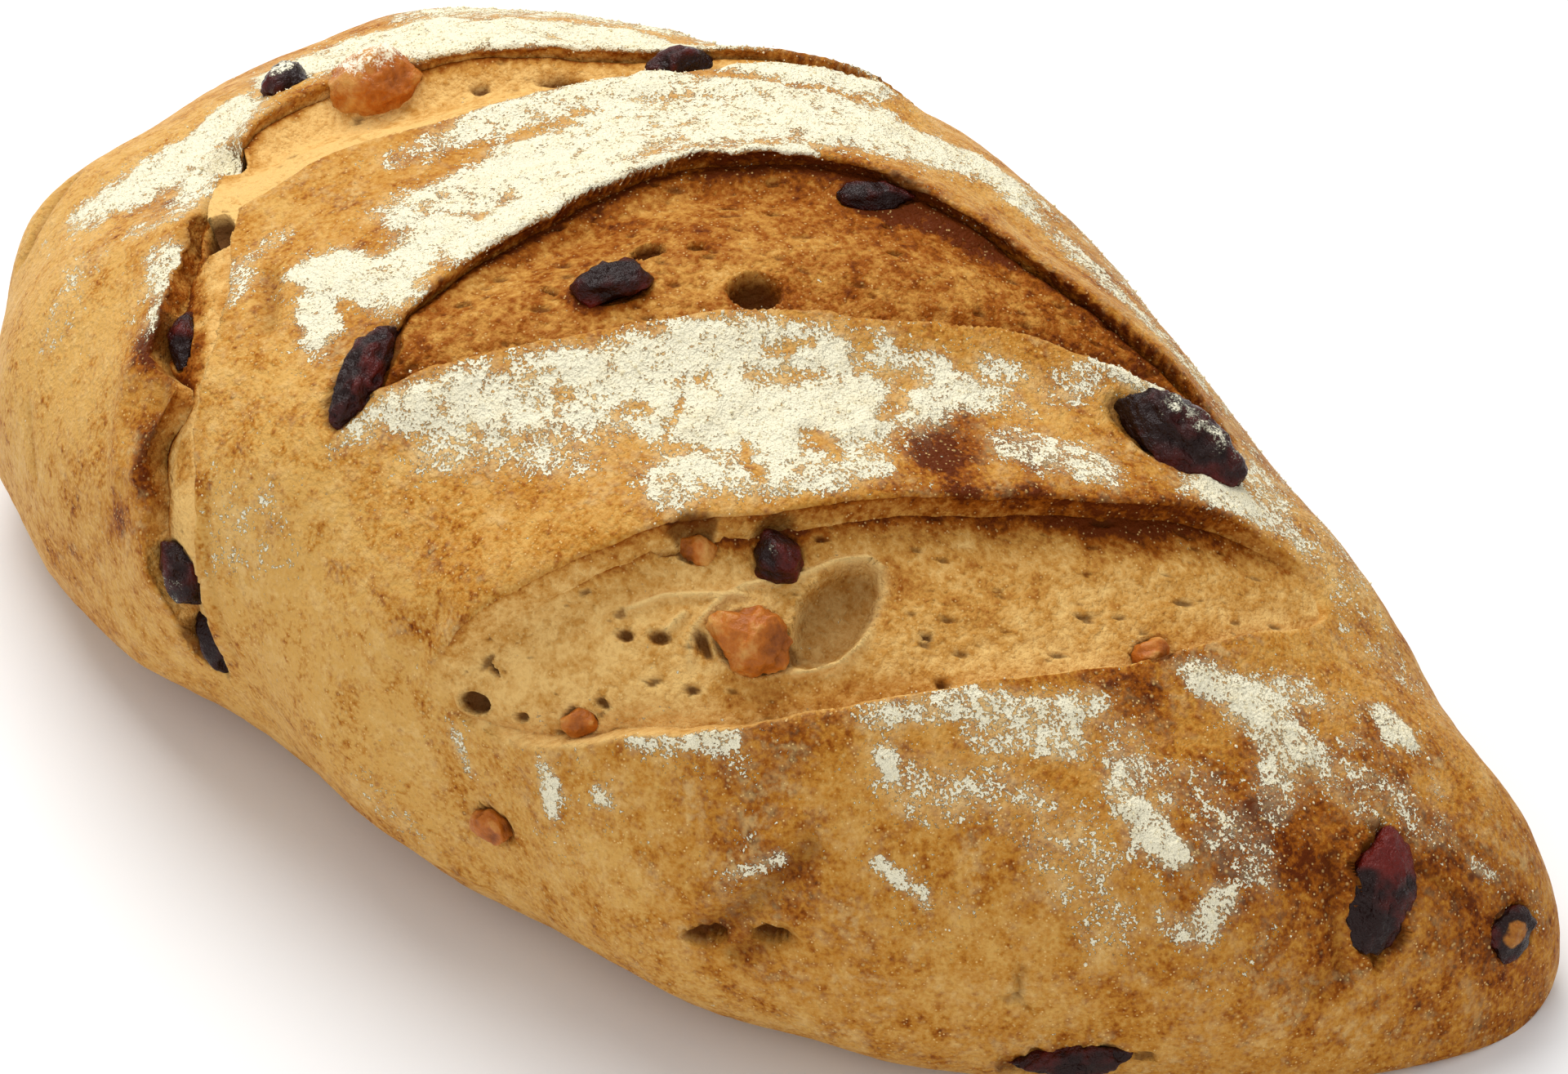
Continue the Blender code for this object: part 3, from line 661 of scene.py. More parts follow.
def noise(points, size, shift=0.0):
    """Smooth noise from 0 to 1 whose features have about the given size."""
    place = points / size + shift * 3.7
    cell = np.floor(place).astype(int)
    part = place - cell
    part = part * part * (3 - 2 * part)
    total = 0.0
    for corner in np.ndindex(2, 2, 2):
        weight = np.prod([part[..., k] if corner[k] else 1 - part[..., k] for k in range(3)], axis=0)
        index = [(cell[..., k] + corner[k]) % 32 for k in range(3)]
        total = total + weight * LATTICE[index[0], index[1], index[2]]
    return total


def rough(points, size, layers, shift=0.0):
    """Noise from about -1 to 1 in layers, each half the size and half the height of the last."""
    total, share = 0.0, 1.0
    for layer in range(layers):
        total = total + share * (noise(points, size / 2 ** layer, shift + layer) - 0.5)
        share *= 0.5
    return total


def cut_axes(cut):
    """The middle, half length and two directions of a cut on the unrolled crust."""
    start = np.array(cut.start) * MM
    span = np.array(cut.end) * MM - start
    half = np.hypot(*span) / 2
    direction = span / (2 * half)
    side = np.array((direction[1], -direction[0])) * math.copysign(1, direction[1])
    return start + direction * half, half, direction, side


def wander(cut, s, which):
    """The small waves of a cut's edge."""
    draw = np.random.default_rng(len(cut.name) * 10 + which)
    total = 0.0
    for turns in WANDER_TURNS:
        total = total + WANDER / turns * np.sin(turns * s * draw.uniform(2.5, 3.8) + draw.uniform(0, 6.28))
    return total * MM * (TORN_WANDER if cut.name == FLAP.cut else 1.0)


def cut_edges(cut, s, wandering=1.0):
    """How far a cut's near and far edges lie off the line between its ends."""
    offsets = []
    for which, (numbers, power) in enumerate(((cut.near, cut.near_power), (cut.far, cut.far_power))):
        level, slope, curve = numbers
        ideal = MM * (1 - s * s) ** power * (level + slope * s + curve * s * s)
        offsets.append(ideal + wandering * wander(cut, s, which) * smooth((1 - np.abs(s)) * 6))
    near, far = offsets
    if cut.name == FLAP.cut:
        far = far + FLAP.reach * MM * bell(s - FLAP.s, FLAP.half)
    return near, np.minimum(far, near - LEAST_WIDTH)


def cut_place(cut, x, v, wandering=1.0):
    """Where places lie in a cut: s along it, their offset, and the offsets of the near and far edges."""
    middle, half, direction, side = cut_axes(cut)
    away_x, away_v = x - middle[0], v - middle[1]
    s = (away_x * direction[0] + away_v * direction[1]) / half
    near, far = cut_edges(cut, np.clip(s, -1, 1), wandering)
    return s, away_x * side[0] + away_v * side[1], near, far


def edge_turns(cut, s):
    """The slopes of a cut's near and far edges against the line between its ends."""
    _, half, _, _ = cut_axes(cut)
    low, high = np.clip(s - SLOPE_STEP, -1, 1), np.clip(s + SLOPE_STEP, -1, 1)
    before, after = cut_edges(cut, low), cut_edges(cut, high)
    run = np.maximum(high - low, LEAST_RUN) * half
    return [np.clip((late - early) / run, -STEEPEST, STEEPEST) for early, late in zip(before, after)]


def cut_fade(s):
    """One along a cut and zero past its ends."""
    return smooth((1 - np.abs(s)) / CUT_FADE)


def waves(x, v):
    """The crust's low waves and dents."""
    total = 0.0
    for height, along, across, phase in WAVES:
        total = total + height * MM * np.sin(2 * math.pi * (along * x + across * v + phase))
    for dent_x, dent_v, depth, reach in DENTS:
        away = np.hypot(x / MM - dent_x, v / MM - dent_v)
        total = total - depth * MM * bell(away, reach)
    return total


def crust_rise(x, v, wandering=1.0):
    """How far the crust stands off the plain loaf: waves, ears on far edges and crests on near ones."""
    rise = waves(x, v)
    for cut in CUTS:
        s, offset, near, far = cut_place(cut, x, v, wandering)
        fade = cut_fade(s)
        rise = rise + fade * cut.ear * MM * bell(offset - far, EAR_REACH)
        rise = rise + fade * cut.crest * MM * bell(offset - near, CREST_REACH)
    return rise


def crumb_rise(cut, s, q, x, v):
    """How far the bared crumb of a cut stands off the plain loaf, q from 0 at its far edge to 1."""
    inside = np.clip(q, 0, 1)
    drop = cut.far_drop * (1 - inside) ** 1.5 + cut.near_drop * inside ** 2.5
    drop = drop - cut.bulge * np.sin(math.pi * inside)
    return waves(x, v) - LEAST_DEPTH - cut_fade(s) * drop * MM


def ground(x, v):
    """The loaf's own surface height: the crumb inside a cut, else the crust."""
    height = crust_rise(x, v, 0.0)
    for cut in CUTS:
        s, offset, near, far = cut_place(cut, x, v, 0.0)
        inside = (np.abs(s) < 0.99) & (far < offset) & (offset < near)
        q = (offset - far) / (near - far)
        height = np.where(inside, np.minimum(height, crumb_rise(cut, s, q, x, v)), height)
    return height


def oval_place(item, x, v, grow=0.0):
    """How far out places lie in an oval on the crust: 1 on its rim."""
    turn = math.radians(item.turn)
    away_x, away_v = x / MM - item.x, v / MM - item.v
    long = (away_x * math.cos(turn) + away_v * math.sin(turn)) / (item.long + grow)
    wide = (away_v * math.cos(turn) - away_x * math.sin(turn)) / (item.wide + grow)
    return np.hypot(long, wide)


def footprint(item, points, grow=0.0):
    """How far out points of the plain loaf lie in an oval laid on it: 1 on its rim."""
    x, v = item.x * MM, item.v * MM
    middle, along, across, _ = (part[0] for part in frame_on(
        np.array([x]), np.array([v]), angle_of(np.array([x / (LENGTH / 2)]), np.array([v]))))
    turn = math.radians(item.turn)
    axis_long = along * math.cos(turn) + across * math.sin(turn)
    axis_wide = across * math.cos(turn) - along * math.sin(turn)
    away = (points - middle) / MM
    r = np.hypot(away @ axis_long / (item.long + grow), away @ axis_wide / (item.wide + grow))
    return np.where(np.linalg.norm(away, axis=-1) < 20, r, 9.0)


def stroke_field(strokes, x, v, spread=0.0):
    """The strongest stroke at each place, falling off to nothing past its width and a spread in mm."""
    field = np.zeros(np.shape(x))
    px, pv = x / MM, v / MM
    for stroke in strokes:
        ends = stroke if len(stroke) > 1 else stroke * 2
        for first, last in zip(ends[:-1], ends[1:]):
            step = np.array(last[:2], float) - first[:2]
            share = ((px - first[0]) * step[0] + (pv - first[1]) * step[1]) / max(float(step @ step), 1e-9)
            share = np.clip(share, 0, 1)
            away = np.hypot(px - first[0] - share * step[0], pv - first[1] - share * step[1])
            width = first[2] + share * (last[2] - first[2]) + spread
            strength = first[3] + share * (last[3] - first[3])
            field = np.maximum(field, strength * smooth((1.65 - away / width) / 1.15))
    return field


def flour_field(x, v, points):
    """How much flour lies on each place of the crust."""
    patchy = 0.45 * rough(points, PATCH_SIZE, 3, 12) + 0.4 * rough(points, SPOT_SIZE, 2, 15)
    x = x + FLOUR_DRIFT * rough(points, DRIFT_SIZE, 2, 31)
    v = v + FLOUR_DRIFT * rough(points, DRIFT_SIZE, 2, 37)
    field, halo = stroke_field(FLOUR, x, v), stroke_field(FLOUR, x, v, HALO_SPREAD)
    field = field * (1 - stroke_field(GAPS, x, v))
    return np.clip(field * (0.95 + 0.8 * patchy), 0, 1) + HALO * halo * (1 - field) * (0.6 + 1.4 * patchy)


def toast_and_light_field(x, v):
    """How much darker or paler than plain golden the crust is: mostly baking, with painted light at the left
    end.
    """
    total = np.full(np.shape(x), PLAIN_TOAST)
    for place_x, place_v, reach, amount in TOAST_AND_PAINTED_LIGHT:
        total = total + amount * bell(np.hypot(x / MM - place_x, v / MM - place_v), reach)
    return total


def line_away(line, x, v):
    """How far places lie from a line of places on the crust, in mm."""
    away = np.full(np.shape(x), 1e3)
    px, pv = x / MM, v / MM
    for first, last in zip(line[:-1], line[1:]):
        step = np.array(last) - first
        share = np.clip(((px - first[0]) * step[0] + (pv - first[1]) * step[1]) / (step @ step), 0, 1)
        away = np.minimum(away, np.hypot(px - first[0] - share * step[0], pv - first[1] - share * step[1]))
    return away


def crease_field(x, v):
    """The change of height of creases, cracks and ridges in the crust, and the painted shade laid in them."""
    height, dark = np.zeros(np.shape(x)), np.zeros(np.shape(x))
    for line, deep, half, shade in CREASES:
        fall = bell(line_away(line, x, v), half)
        height = height - deep * MM * fall
        # Painted shade along the crease.
        dark = np.maximum(dark, shade * fall)
    return height, dark


def settle(points):
    """The hollows of holes and pockets, as the change of height and the painted shade laid in them."""
    height, dark = np.zeros(points.shape[:-1]), np.zeros(points.shape[:-1])
    uneven, torn = rough(points, UNEVEN_SIZE, 2, 5), rough(points, TORN_SIZE, 3, 17)
    for hole in HOLES:
        bowl = HOLLOW_BOWL if hole.name == HOLLOW else HOLE_BOWL
        r = footprint(hole, points) * (1 + HOLE_UNEVEN * uneven)
        height = height - hole.deep * MM * HOLE_DEEPER * np.sqrt(np.clip(1 - r ** bowl.power, 0, 1))
        height = height + bowl.rim * MM * bell(r - RIM_PLACE, RIM_WIDTH)
        # Painted shade inside the hole.
        dark = np.maximum(dark, bowl.shade * smooth((1.04 - r) * bowl.edge))
    for piece in CRANBERRIES + WALNUTS:
        if piece.lift < POCKET_LIFT:
            ragged = RAGGED.get(piece.name, CALM_EDGE)
            r = footprint(piece, points, 0.1) * (1 + ragged * uneven)
            height = height + TORN_HEIGHT * (ragged - CALM_EDGE) * MM * torn * bell(r - 0.8, 0.25)
            height = height - 0.4 * piece.deep * MM * smooth((0.88 - r) * 5) - 0.3 * MM * bell(r - 0.97, 0.08)
            height = height + 0.25 * MM * bell(r - 1.15, 0.10)
            # Painted shade in the pocket round the piece.
            dark = np.maximum(dark, 0.8 * smooth((1.05 - r) * 12))
    return height, dark


class Cloth:
    """Points, faces and named values of a mesh that is being put together."""

    def __init__(self):
        self.points, self.faces, self.values = [], [], {}
        self.count = 0

    def add(self, points, faces, values):
        """Add points, faces that count from their own first point, and values at the points."""
        self.points.append(np.asarray(points, float).reshape(-1, 3))
        self.faces.append((np.asarray(faces, int) + self.count, np.shape(faces)[1]))
        for name, value in values.items():
            self.values.setdefault(name, []).append(np.asarray(value, float).ravel())
        self.count += len(self.points[-1])

    def make(self, name, material):
        """The mesh as a smooth object with a material."""
        mesh = bpy.data.meshes.new(name)
        points = np.concatenate(self.points) + SHIFT
        corners = np.concatenate([faces.ravel() for faces, _ in self.faces])
        sizes = np.concatenate([np.full(len(faces), size) for faces, size in self.faces])
        mesh.vertices.add(len(points))
        mesh.vertices.foreach_set("co", points.ravel())
        mesh.loops.add(len(corners))
        mesh.loops.foreach_set("vertex_index", corners)
        mesh.polygons.add(len(sizes))
        mesh.polygons.foreach_set("loop_start", np.concatenate([[0], np.cumsum(sizes)[:-1]]))
        mesh.update(calc_edges=True)
        mesh.validate()
        mesh.shade_smooth()
        for value_name, parts in self.values.items():
            layer = mesh.attributes.new(value_name, "FLOAT", "POINT")
            layer.data.foreach_set("value", np.concatenate(parts))
        mesh.materials.append(material)
        item = bpy.data.objects.new(name, mesh)
        bpy.context.scene.collection.objects.link(item)
        return item


def grid_faces(rows, columns, closed=False):
    """The quads of a grid of rows by columns of points, closed round its columns if asked."""
    i = np.arange(rows - 1)[:, None]
    j = np.arange(columns if closed else columns - 1)[None]
    after = (j + 1) % columns
    quads = [i * columns + j, i * columns + after, (i + 1) * columns + after, (i + 1) * columns + j]
    return np.stack([q + 0 * i + 0 * j for q in quads], -1).reshape(-1, 4)


def column_angles():
    """The angles of the crust mesh's columns: even steps over the top, wide ones under the base."""
    reach = np.linspace(TOP_REACH, -TOP_REACH, TOP_COLUMNS)
    top = angle_of(0.0, reach)
    low = np.linspace(top[-1], top[0] + 2 * math.pi, BASE_COLUMNS + 2)[1:-1]
    low = np.where(low > 1.5 * math.pi, low - 2 * math.pi, low)
    return np.concatenate([top, low])


def crust_places():
    """t and angle of the crust mesh's points: columns slant with the cuts, points gather at their edges."""
    angles = column_angles()
    slant = np.clip(SLANT * across_of(0.0, angles) / (LENGTH / 2) / SLANT_LIMIT, -math.pi / 2, math.pi / 2)
    base = np.sin(angles) < 0
    slant = SLANT_LIMIT * np.sin(slant) * np.where(base, np.abs(np.cos(angles)), 1.0)
    u = -np.cos(np.linspace(END_GAP, math.pi - END_GAP, FINE_STEPS))[:, None]
    t = u + slant[None] * (1 - u * u)
    angle = angles[None] + 0 * t
    points = plain_form(t, angle)
    x, v = points[..., 0], across_of(t, angle)
    weight = np.ones(t.shape)
    for cut in CUTS:
        s, offset, near, far = cut_place(cut, x, v)
        fade = smooth((1.03 - np.abs(s)) * 12)
        inside = fade * smooth((offset - far) / MM - 1.5) * smooth((near - offset) / MM - 1.0)
        weight = weight * (1 - (1 - INSIDE_SHARE) * inside)
        for edge, ahead in ((far, 0.5 * MM), (near, -0.2 * MM)):
            weight = weight + EDGE_PULL * fade * bell(offset - edge - ahead, EDGE_REACH)
    for piece in HOLES + CRANBERRIES + WALNUTS:
        weight = weight + 0.7 * smooth((1.6 - footprint(piece, points)) * 3)
    steps = np.linalg.norm(np.diff(points, axis=0), axis=-1) * (weight[1:] + weight[:-1]) / 2
    travel = np.concatenate([np.zeros((1, t.shape[1])), np.cumsum(steps, axis=0)])
    wanted = np.linspace(0, 1, COLUMN_POINTS)
    travel = travel / travel[-1]
    placed = np.stack([np.interp(wanted, travel[:, j], t[:, j]) for j in range(t.shape[1])], 1)
    steps = np.arange(-BLEND_COLUMNS, BLEND_COLUMNS + 1)
    shares = bell(steps, BLEND_COLUMNS / 2)
    shares = shares / shares.sum()
    placed = sum(share * np.roll(placed, step, axis=1) for step, share in zip(steps, shares))
    return placed, angles[None] + 0 * placed


def lip_shift(lip, s, d, fade):
    """The rolled lip at a far edge and the wall under it: sideways shift, drop, and share of the way down."""
    radius, span, wall, under = (part * MM for part in lip[:4])
    lean = lip.lean * MM * smooth(0.55 - s)
    radius, under, wall = radius * fade, (under - lean) * fade, wall + lean
    nose = np.clip(d / span, 0, 1)
    turn = math.pi / 2 - math.pi * nose
    back = smooth((d - span) / wall)
    home = smooth((d - span - wall) / (lip.home * MM))
    place = radius * np.cos(turn) * (1 - back) - under * back
    shift = np.where(d > 0, (place - d) * (1 - home), 0.0) * fade
    drop = np.where(d > 0, radius * (1 - np.sin(turn)), 0.0)
    return shift, drop, np.where(d > span, back, 0.0)


def crust_surface(t, angle):
    """The crust's points and the values that its finish reads."""
    plain = plain_form(t, angle)
    x, v = plain[..., 0], across_of(t, angle)
    point, along, across, out = frame_on(x, v, angle)
    calm = smooth(point[..., 2] / BASE_CALM) * smooth((1 - np.abs(t)) / END_CALM)
    height = crust_rise(x, v)
    seen_x, seen_v = seen(x, v, height, along, across, out)
    flour = flour_field(seen_x, seen_v, plain) * calm
    height = height + CRUST_LUMP * rough(plain, CRUST_LUMP_SIZE, 4, 1)
    height = height + CRUST_GRAIN * rough(plain, CRUST_GRAIN_SIZE, 2, 9)
    clump = 0.6 * smooth((noise(plain, CLUMP_SIZE, 4) - 0.3) * 2.2) + 0.5 * noise(plain, CRUMBLE_SIZE, 8)
    height = height + CLUMP_HEIGHT * smooth((flour - CLUMP_START) * 2.6) * clump
    # Holes, pockets and creases sink the crust and also lay painted shade in its colour.
    sunk, dark = settle(plain)
    creased, shade = crease_field(seen_x, seen_v)
    height, dark = height + sunk + creased, np.maximum(dark, shade)
    side_x, side_v = np.zeros(t.shape), np.zeros(t.shape)
    bare, edge = np.zeros(t.shape), np.zeros(t.shape)
    # The crust's tone: baking, with painted light at the left end and painted shade under the ears.
    toast = toast_and_light_field(seen_x, seen_v)
    for index, (cut, lip) in enumerate(zip(CUTS, LIPS)):
        _, _, direction, side = cut_axes(cut)
        s, offset, near, far = cut_place(cut, x, v)
        near_turn, far_turn = edge_turns(cut, s)
        fade = cut_fade(s)
        open_share = smooth(fade * 4)
        square = 1 / np.sqrt(1 + far_turn ** 2)
        d, e = (offset - far) * square, (near - offset) / np.sqrt(1 + near_turn ** 2)
        shift, drop, down = lip_shift(lip, s, d, open_share)
        inside = (d > 0) & (e > 0) & (np.abs(s) < 1)
        q = (offset - far) / (near - far)
        floor = crumb_rise(cut, s, q, x, v) - FLOOR_DROP + FLOOR_SINK * np.minimum(sunk, 0)
        middle = smooth((offset - far) / (4 * MM) - 0.8) * smooth((near - offset) / (3 * MM))
        floor = floor - MIDDLE_DROP * middle
        depth = np.minimum(down, smooth(e / NEAR_SPAN)) * open_share
        depth = np.where(inside, depth, 0.0)
        lowered = height - np.where(inside, drop * smooth(e / (2 * MM)), 0.0)
        height = lowered + (floor - lowered) * depth
        shift = np.where(inside, shift * smooth(e / (3 * MM)) * smooth((1 - np.abs(s)) / 0.2), 0.0)
        side_x = side_x + shift * square * (side[0] - far_turn * direction[0])
        side_v = side_v + shift * square * (side[1] - far_turn * direction[1])
        rolled = smooth(d / (lip.span * MM) - 0.4) * open_share
        bare = np.maximum(bare, np.where(inside, np.maximum(depth, rolled), 0.0))
        if cut.name in FLOURED_EARS:
            bared = smooth(d / (lip.span * MM) * 1.5 - 0.5)
        else:
            bared = smooth(d / (lip.span * MM) * 2)
        flour = flour * (1 - np.where(inside, bared * open_share, 0.0))
        on_cut = fade * (np.abs(s) < 1)
        # The far edge's brown rim is partly real browning of the ear and partly painted shade under its lip.
        rim = bell(np.clip(np.abs(d), 0, RIM_SPAN), RIM_REACH) * on_cut
        crest = bell(np.clip(np.abs(e), 0, RIM_SPAN), BROWN_REACH) * on_cut
        rim = rim * (smooth(0.55 + s) if cut.name == NEAR_SLASH else 1.0)
        toast = toast + RIM_TOAST_AND_SHADE * rim * smooth(1.6 - d / MM) + CREST_TOAST * crest * (e < 0)
        # The wall under the ear takes the crumb's tone, whose darker band at the far edge is partly painted
        # shade.
        wall = np.where(inside, smooth(rolled * 1.5), 0.0)
        toast = toast + (crumb_toast_and_shade(index, s, q, offset - far) - toast) * wall
        bright = lip.bright * (smooth(0.1 - s * 1.4) if cut.name == NEAR_SLASH else 1.0)
        pale = bright * bell(e, PALE_REACH) * on_cut * noise(plain, PALE_SIZE, 6)
        edge = np.maximum(edge, pale)
    place = point + along * side_x[..., None] + across * side_v[..., None] + out * (height * calm)[..., None]
    place[..., 2] = np.maximum(place[..., 2], 0.0)
    # The values carry the painted shade of holes, pockets and creases with the flour, tone, bare crumb and pale
    # edges.
    values = {"flour": flour, "toast": toast, "bare": bare, "dark": dark * calm, "lip": edge}
    return place, values


def crumb_toast_and_shade(index, s, q, away):
    """How well baked the bared crumb is, by the share across the cut and the distance from its far edge, where
    a darker band is partly painted shade under the ear.
    """
    level, rise, slope, rim, _ = CRUMBS[index]
    reach = (2.2 + 1.2 * s if CUTS[index].name == NEAR_SLASH else 1.3) * MM
    edge = rim * bell(np.clip(away, 0, 1), reach) * cut_fade(s)
    return level + rise * (1 - q) + slope * s + edge


def pore_field(cut, index, x, v):
    """The small pores of the crumb, long the way of the cut: how deep, the painted shade inside them, and the
    raised rims of the pits.
    """
    draw = np.random.default_rng(100 + index)
    middle, half, direction, side = cut_axes(cut)
    deep, dark, rims = (np.zeros(np.shape(x)) for _ in range(3))
    for _ in range(CRUMBS[index].pores):
        at = draw.uniform(-0.97, 0.97)
        near, far = cut_edges(cut, np.array(at))
        offset = far + draw.beta(1.1, 1.1) * (near - far)
        size = LEAST_PORE + PORE_RANGE * draw.random() ** 3
        long = size * draw.uniform(*PORE_LENGTHS)
        slope = draw.uniform(*PORE_DEPTHS)
        px, pv = middle + direction * half * at + side * offset
        close = (np.abs(x - px) < PORE_REACH) & (np.abs(v - pv) < PORE_REACH)
        if not close.any():
            continue
        lean = draw.normal() * PORE_LEAN
        way = direction * math.cos(lean) + side * math.sin(lean)
        cross = np.array((-way[1], way[0]))
        ax, av = (x[close] - px) / MM, (v[close] - pv) / MM
        r = np.hypot((ax * way[0] + av * way[1]) / long, (ax * cross[0] + av * cross[1]) / size)
        bowl = np.clip(1 - r ** 2, 0, 1)
        deep[close] = np.maximum(deep[close], size * slope * np.sqrt(bowl) * MM)
        # Painted shade inside the pore.
        dark[close] = np.maximum(dark[close], smooth(bowl * 1.4) * min(1, 0.45 + size * 0.6))
    for pit in PITS:
        r = oval_place(pit, x, v)
        bowl = np.clip(1 - r ** 2, 0, 1)
        deep = np.maximum(deep, pit.deep * MM * np.sqrt(bowl))
        # Painted shade inside the pit.
        dark = np.maximum(dark, 0.95 * smooth(bowl * 1.6))
        rims = np.maximum(rims, bell(r - 1.25, 0.18))
    return deep, dark, rims


def string_field(x, v):
    """Thin strings of dough stretched over the crumb beside the hollow."""
    return np.max([bell(line_away(line, x, v), STRING_HALF) for line in STRINGS], axis=0)


def crumb_surface(cut, index):
    """The bared crumb of a cut, from under its ear to under its near edge."""
    middle, half, direction, side = cut_axes(cut)
    s = np.sin(np.linspace(-1, 1, cut.columns) * math.pi / 2 * 0.97)[:, None]
    share = np.linspace(0, 1, cut.rows)[None]
    near, far = cut_edges(cut, s)
    open_share = smooth(cut_fade(s) * 4)
    first, last = far - CRUMB_TUCK * open_share, near + NEAR_TUCK
    offset = first + share * (last - first)
    s = s + 0 * offset
    x = middle[0] + direction[0] * half * s + side[0] * offset
    v = middle[1] + direction[1] * half * s + side[1] * offset
    q = (offset - far) / (near - far)
    point, _, _, out = frame_on(x, v, angle_of(np.clip(x / (LENGTH / 2), -1, 1), v))
    fillet = LIPS[index].fillet * MM * bell(np.clip(offset - far, 0, 1), FILLET_REACH)
    height = crumb_rise(cut, s, q, x, v) + fillet * cut_fade(s)
    stretched = np.stack([s * half / CRUMB_STRETCH, offset, 0 * s], -1)
    height = height + CRUMB_LUMP * rough(stretched, CRUMB_LUMP_SIZE, 4, index)
    height = height + CRUMB_GRAIN * rough(point, CRUMB_GRAIN_SIZE, 2, 3)
    deep, dark, rims = pore_field(cut, index, x, v)
    height = height - deep + PIT_RIM * rims
    # Holes and pockets sink the crumb; hollow holds the painted shade laid in them.
    sunk, hollow = settle(point)
    height = height + sunk
    strings = string_field(x, v)
    height = height + STRING_HEIGHT * strings
    height = height - 0.5 * MM * smooth(-q * 10) - 0.6 * MM * smooth((q - 1) * 20)
    # The crumb's tone, its darker band at the far edge partly painted shade under the ear, with redder stains.
    toast = crumb_toast_and_shade(index, s, q, offset - far) + STAIN_TOAST * stroke_field(STAINS, x, v)
    place = point + out * height[..., None]
    # The values carry painted shade for pores, holes and pockets, and the strings' paleness, which is partly a
    # painted highlight.
    values = {
        "flour": 0.12 * np.ones(s.shape) * smooth((q - 0.7) * 3), "toast": toast, "bare": np.ones(s.shape),
        "dark": np.maximum(dark, hollow), "lip": strings * STRING_PALE_AND_HIGHLIGHT,
    }
    return place, values


def piece_points(piece, wrinkle, seed, detail, fold=0.0, fold_size=1.0, facets=0):
    """The points and faces of a fruit or nut piece, with finer folds than its solid."""
    shape = bmesh.new()
    bmesh.ops.create_icosphere(shape, subdivisions=detail, radius=1.0)
    ball = np.array([vertex.co for vertex in shape.verts])
    faces = np.array([[vertex.index for vertex in face.verts] for face in shape.faces])
    shape.free()
    draw = np.random.default_rng(seed)
    folds = draw.normal(size=(LUMPS, 3)) * LUMP_RATE
    phases = draw.uniform(0, 2 * math.pi, LUMPS)
    lumps = np.sin(ball @ folds.T + phases).mean(axis=1)
    ball = ball * (1 + wrinkle * lumps)[:, None]
    for normal, reach in zip(unit(draw.normal(size=(facets, 3))), draw.uniform(*FACET_OUT, facets)):
        past = np.clip(ball @ normal - reach, 0, None)
        ball = ball - FACET_CUT * past[:, None] * normal
    solid = ball * np.array((piece.long, piece.wide, piece.deep)) * (FACET_GROWTH if facets else 1.0)
    if fold > 0:
        ridged = 1 - np.abs(2 * noise(solid, fold_size, seed) - 1)
        finer = 1 - np.abs(2 * noise(solid, fold_size * FINER_FOLD, seed + 3) - 1)
        raised = fold * (ridged - FOLD_LEVEL) + FINER_FOLD * fold * (finer - FOLD_LEVEL)
        solid = solid + unit(solid) * raised[:, None]
    x, v = np.array([piece.x * MM]), np.array([piece.v * MM])
    point, along, across, out = (part[0] for part in frame_on(x, v, angle_of(x / (LENGTH / 2), v)))
    base = point + out * (float(ground(x, v)[0]) + piece.lift * MM)
    turn = math.radians(piece.turn)
    axis_long = along * math.cos(turn) + across * math.sin(turn)
    axis_wide = across * math.cos(turn) - along * math.sin(turn)
    turned = solid[:, :1] * axis_long + solid[:, 1:2] * axis_wide + solid[:, 2:] * out
    return base + MM * turned, faces, solid


def frame_shift():
    """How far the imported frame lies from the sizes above, read from one fruit's box."""
    piece = CRANBERRIES[0]
    points, _, _ = piece_points(piece, CRANBERRY_WRINKLE, 1, SOLID_DETAIL)
    low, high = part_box(piece.name)
    return (np.array(low) + np.array(high)) / 2 - (points.min(0) + points.max(0)) / 2


SHIFT = frame_shift() * np.array((1.0, 1.0, 0.0))


class Value:
    """A shader socket whose arithmetic adds Math nodes."""

    def __init__(self, finish, socket):
        self.finish, self.socket = finish, socket

    def work(self, operation, *terms):
        """A Math node on this value and others."""
        return self.finish.node("ShaderNodeMath", {"operation": operation}, dict(enumerate(terms)))

    def __add__(self, other):
        return self.work("ADD", self, other)

    __radd__ = __add__

    def __sub__(self, other):
        return self.work("SUBTRACT", self, other)

    def __rsub__(self, other):
        return self.work("SUBTRACT", other, self)

    def __mul__(self, other):
        return self.work("MULTIPLY", self, other)

    __rmul__ = __mul__

    def most(self, other):
        """The larger of two values."""
        return self.work("MAXIMUM", self, other)

    def rise(self, low, high):
        """A smooth rise from 0 to 1 as the value goes from low to high."""
        settings = {"interpolation_type": "SMOOTHSTEP"}
        inputs = {"Value": self, "From Min": low, "From Max": high}
        return self.finish.node("ShaderNodeMapRange", settings, inputs)


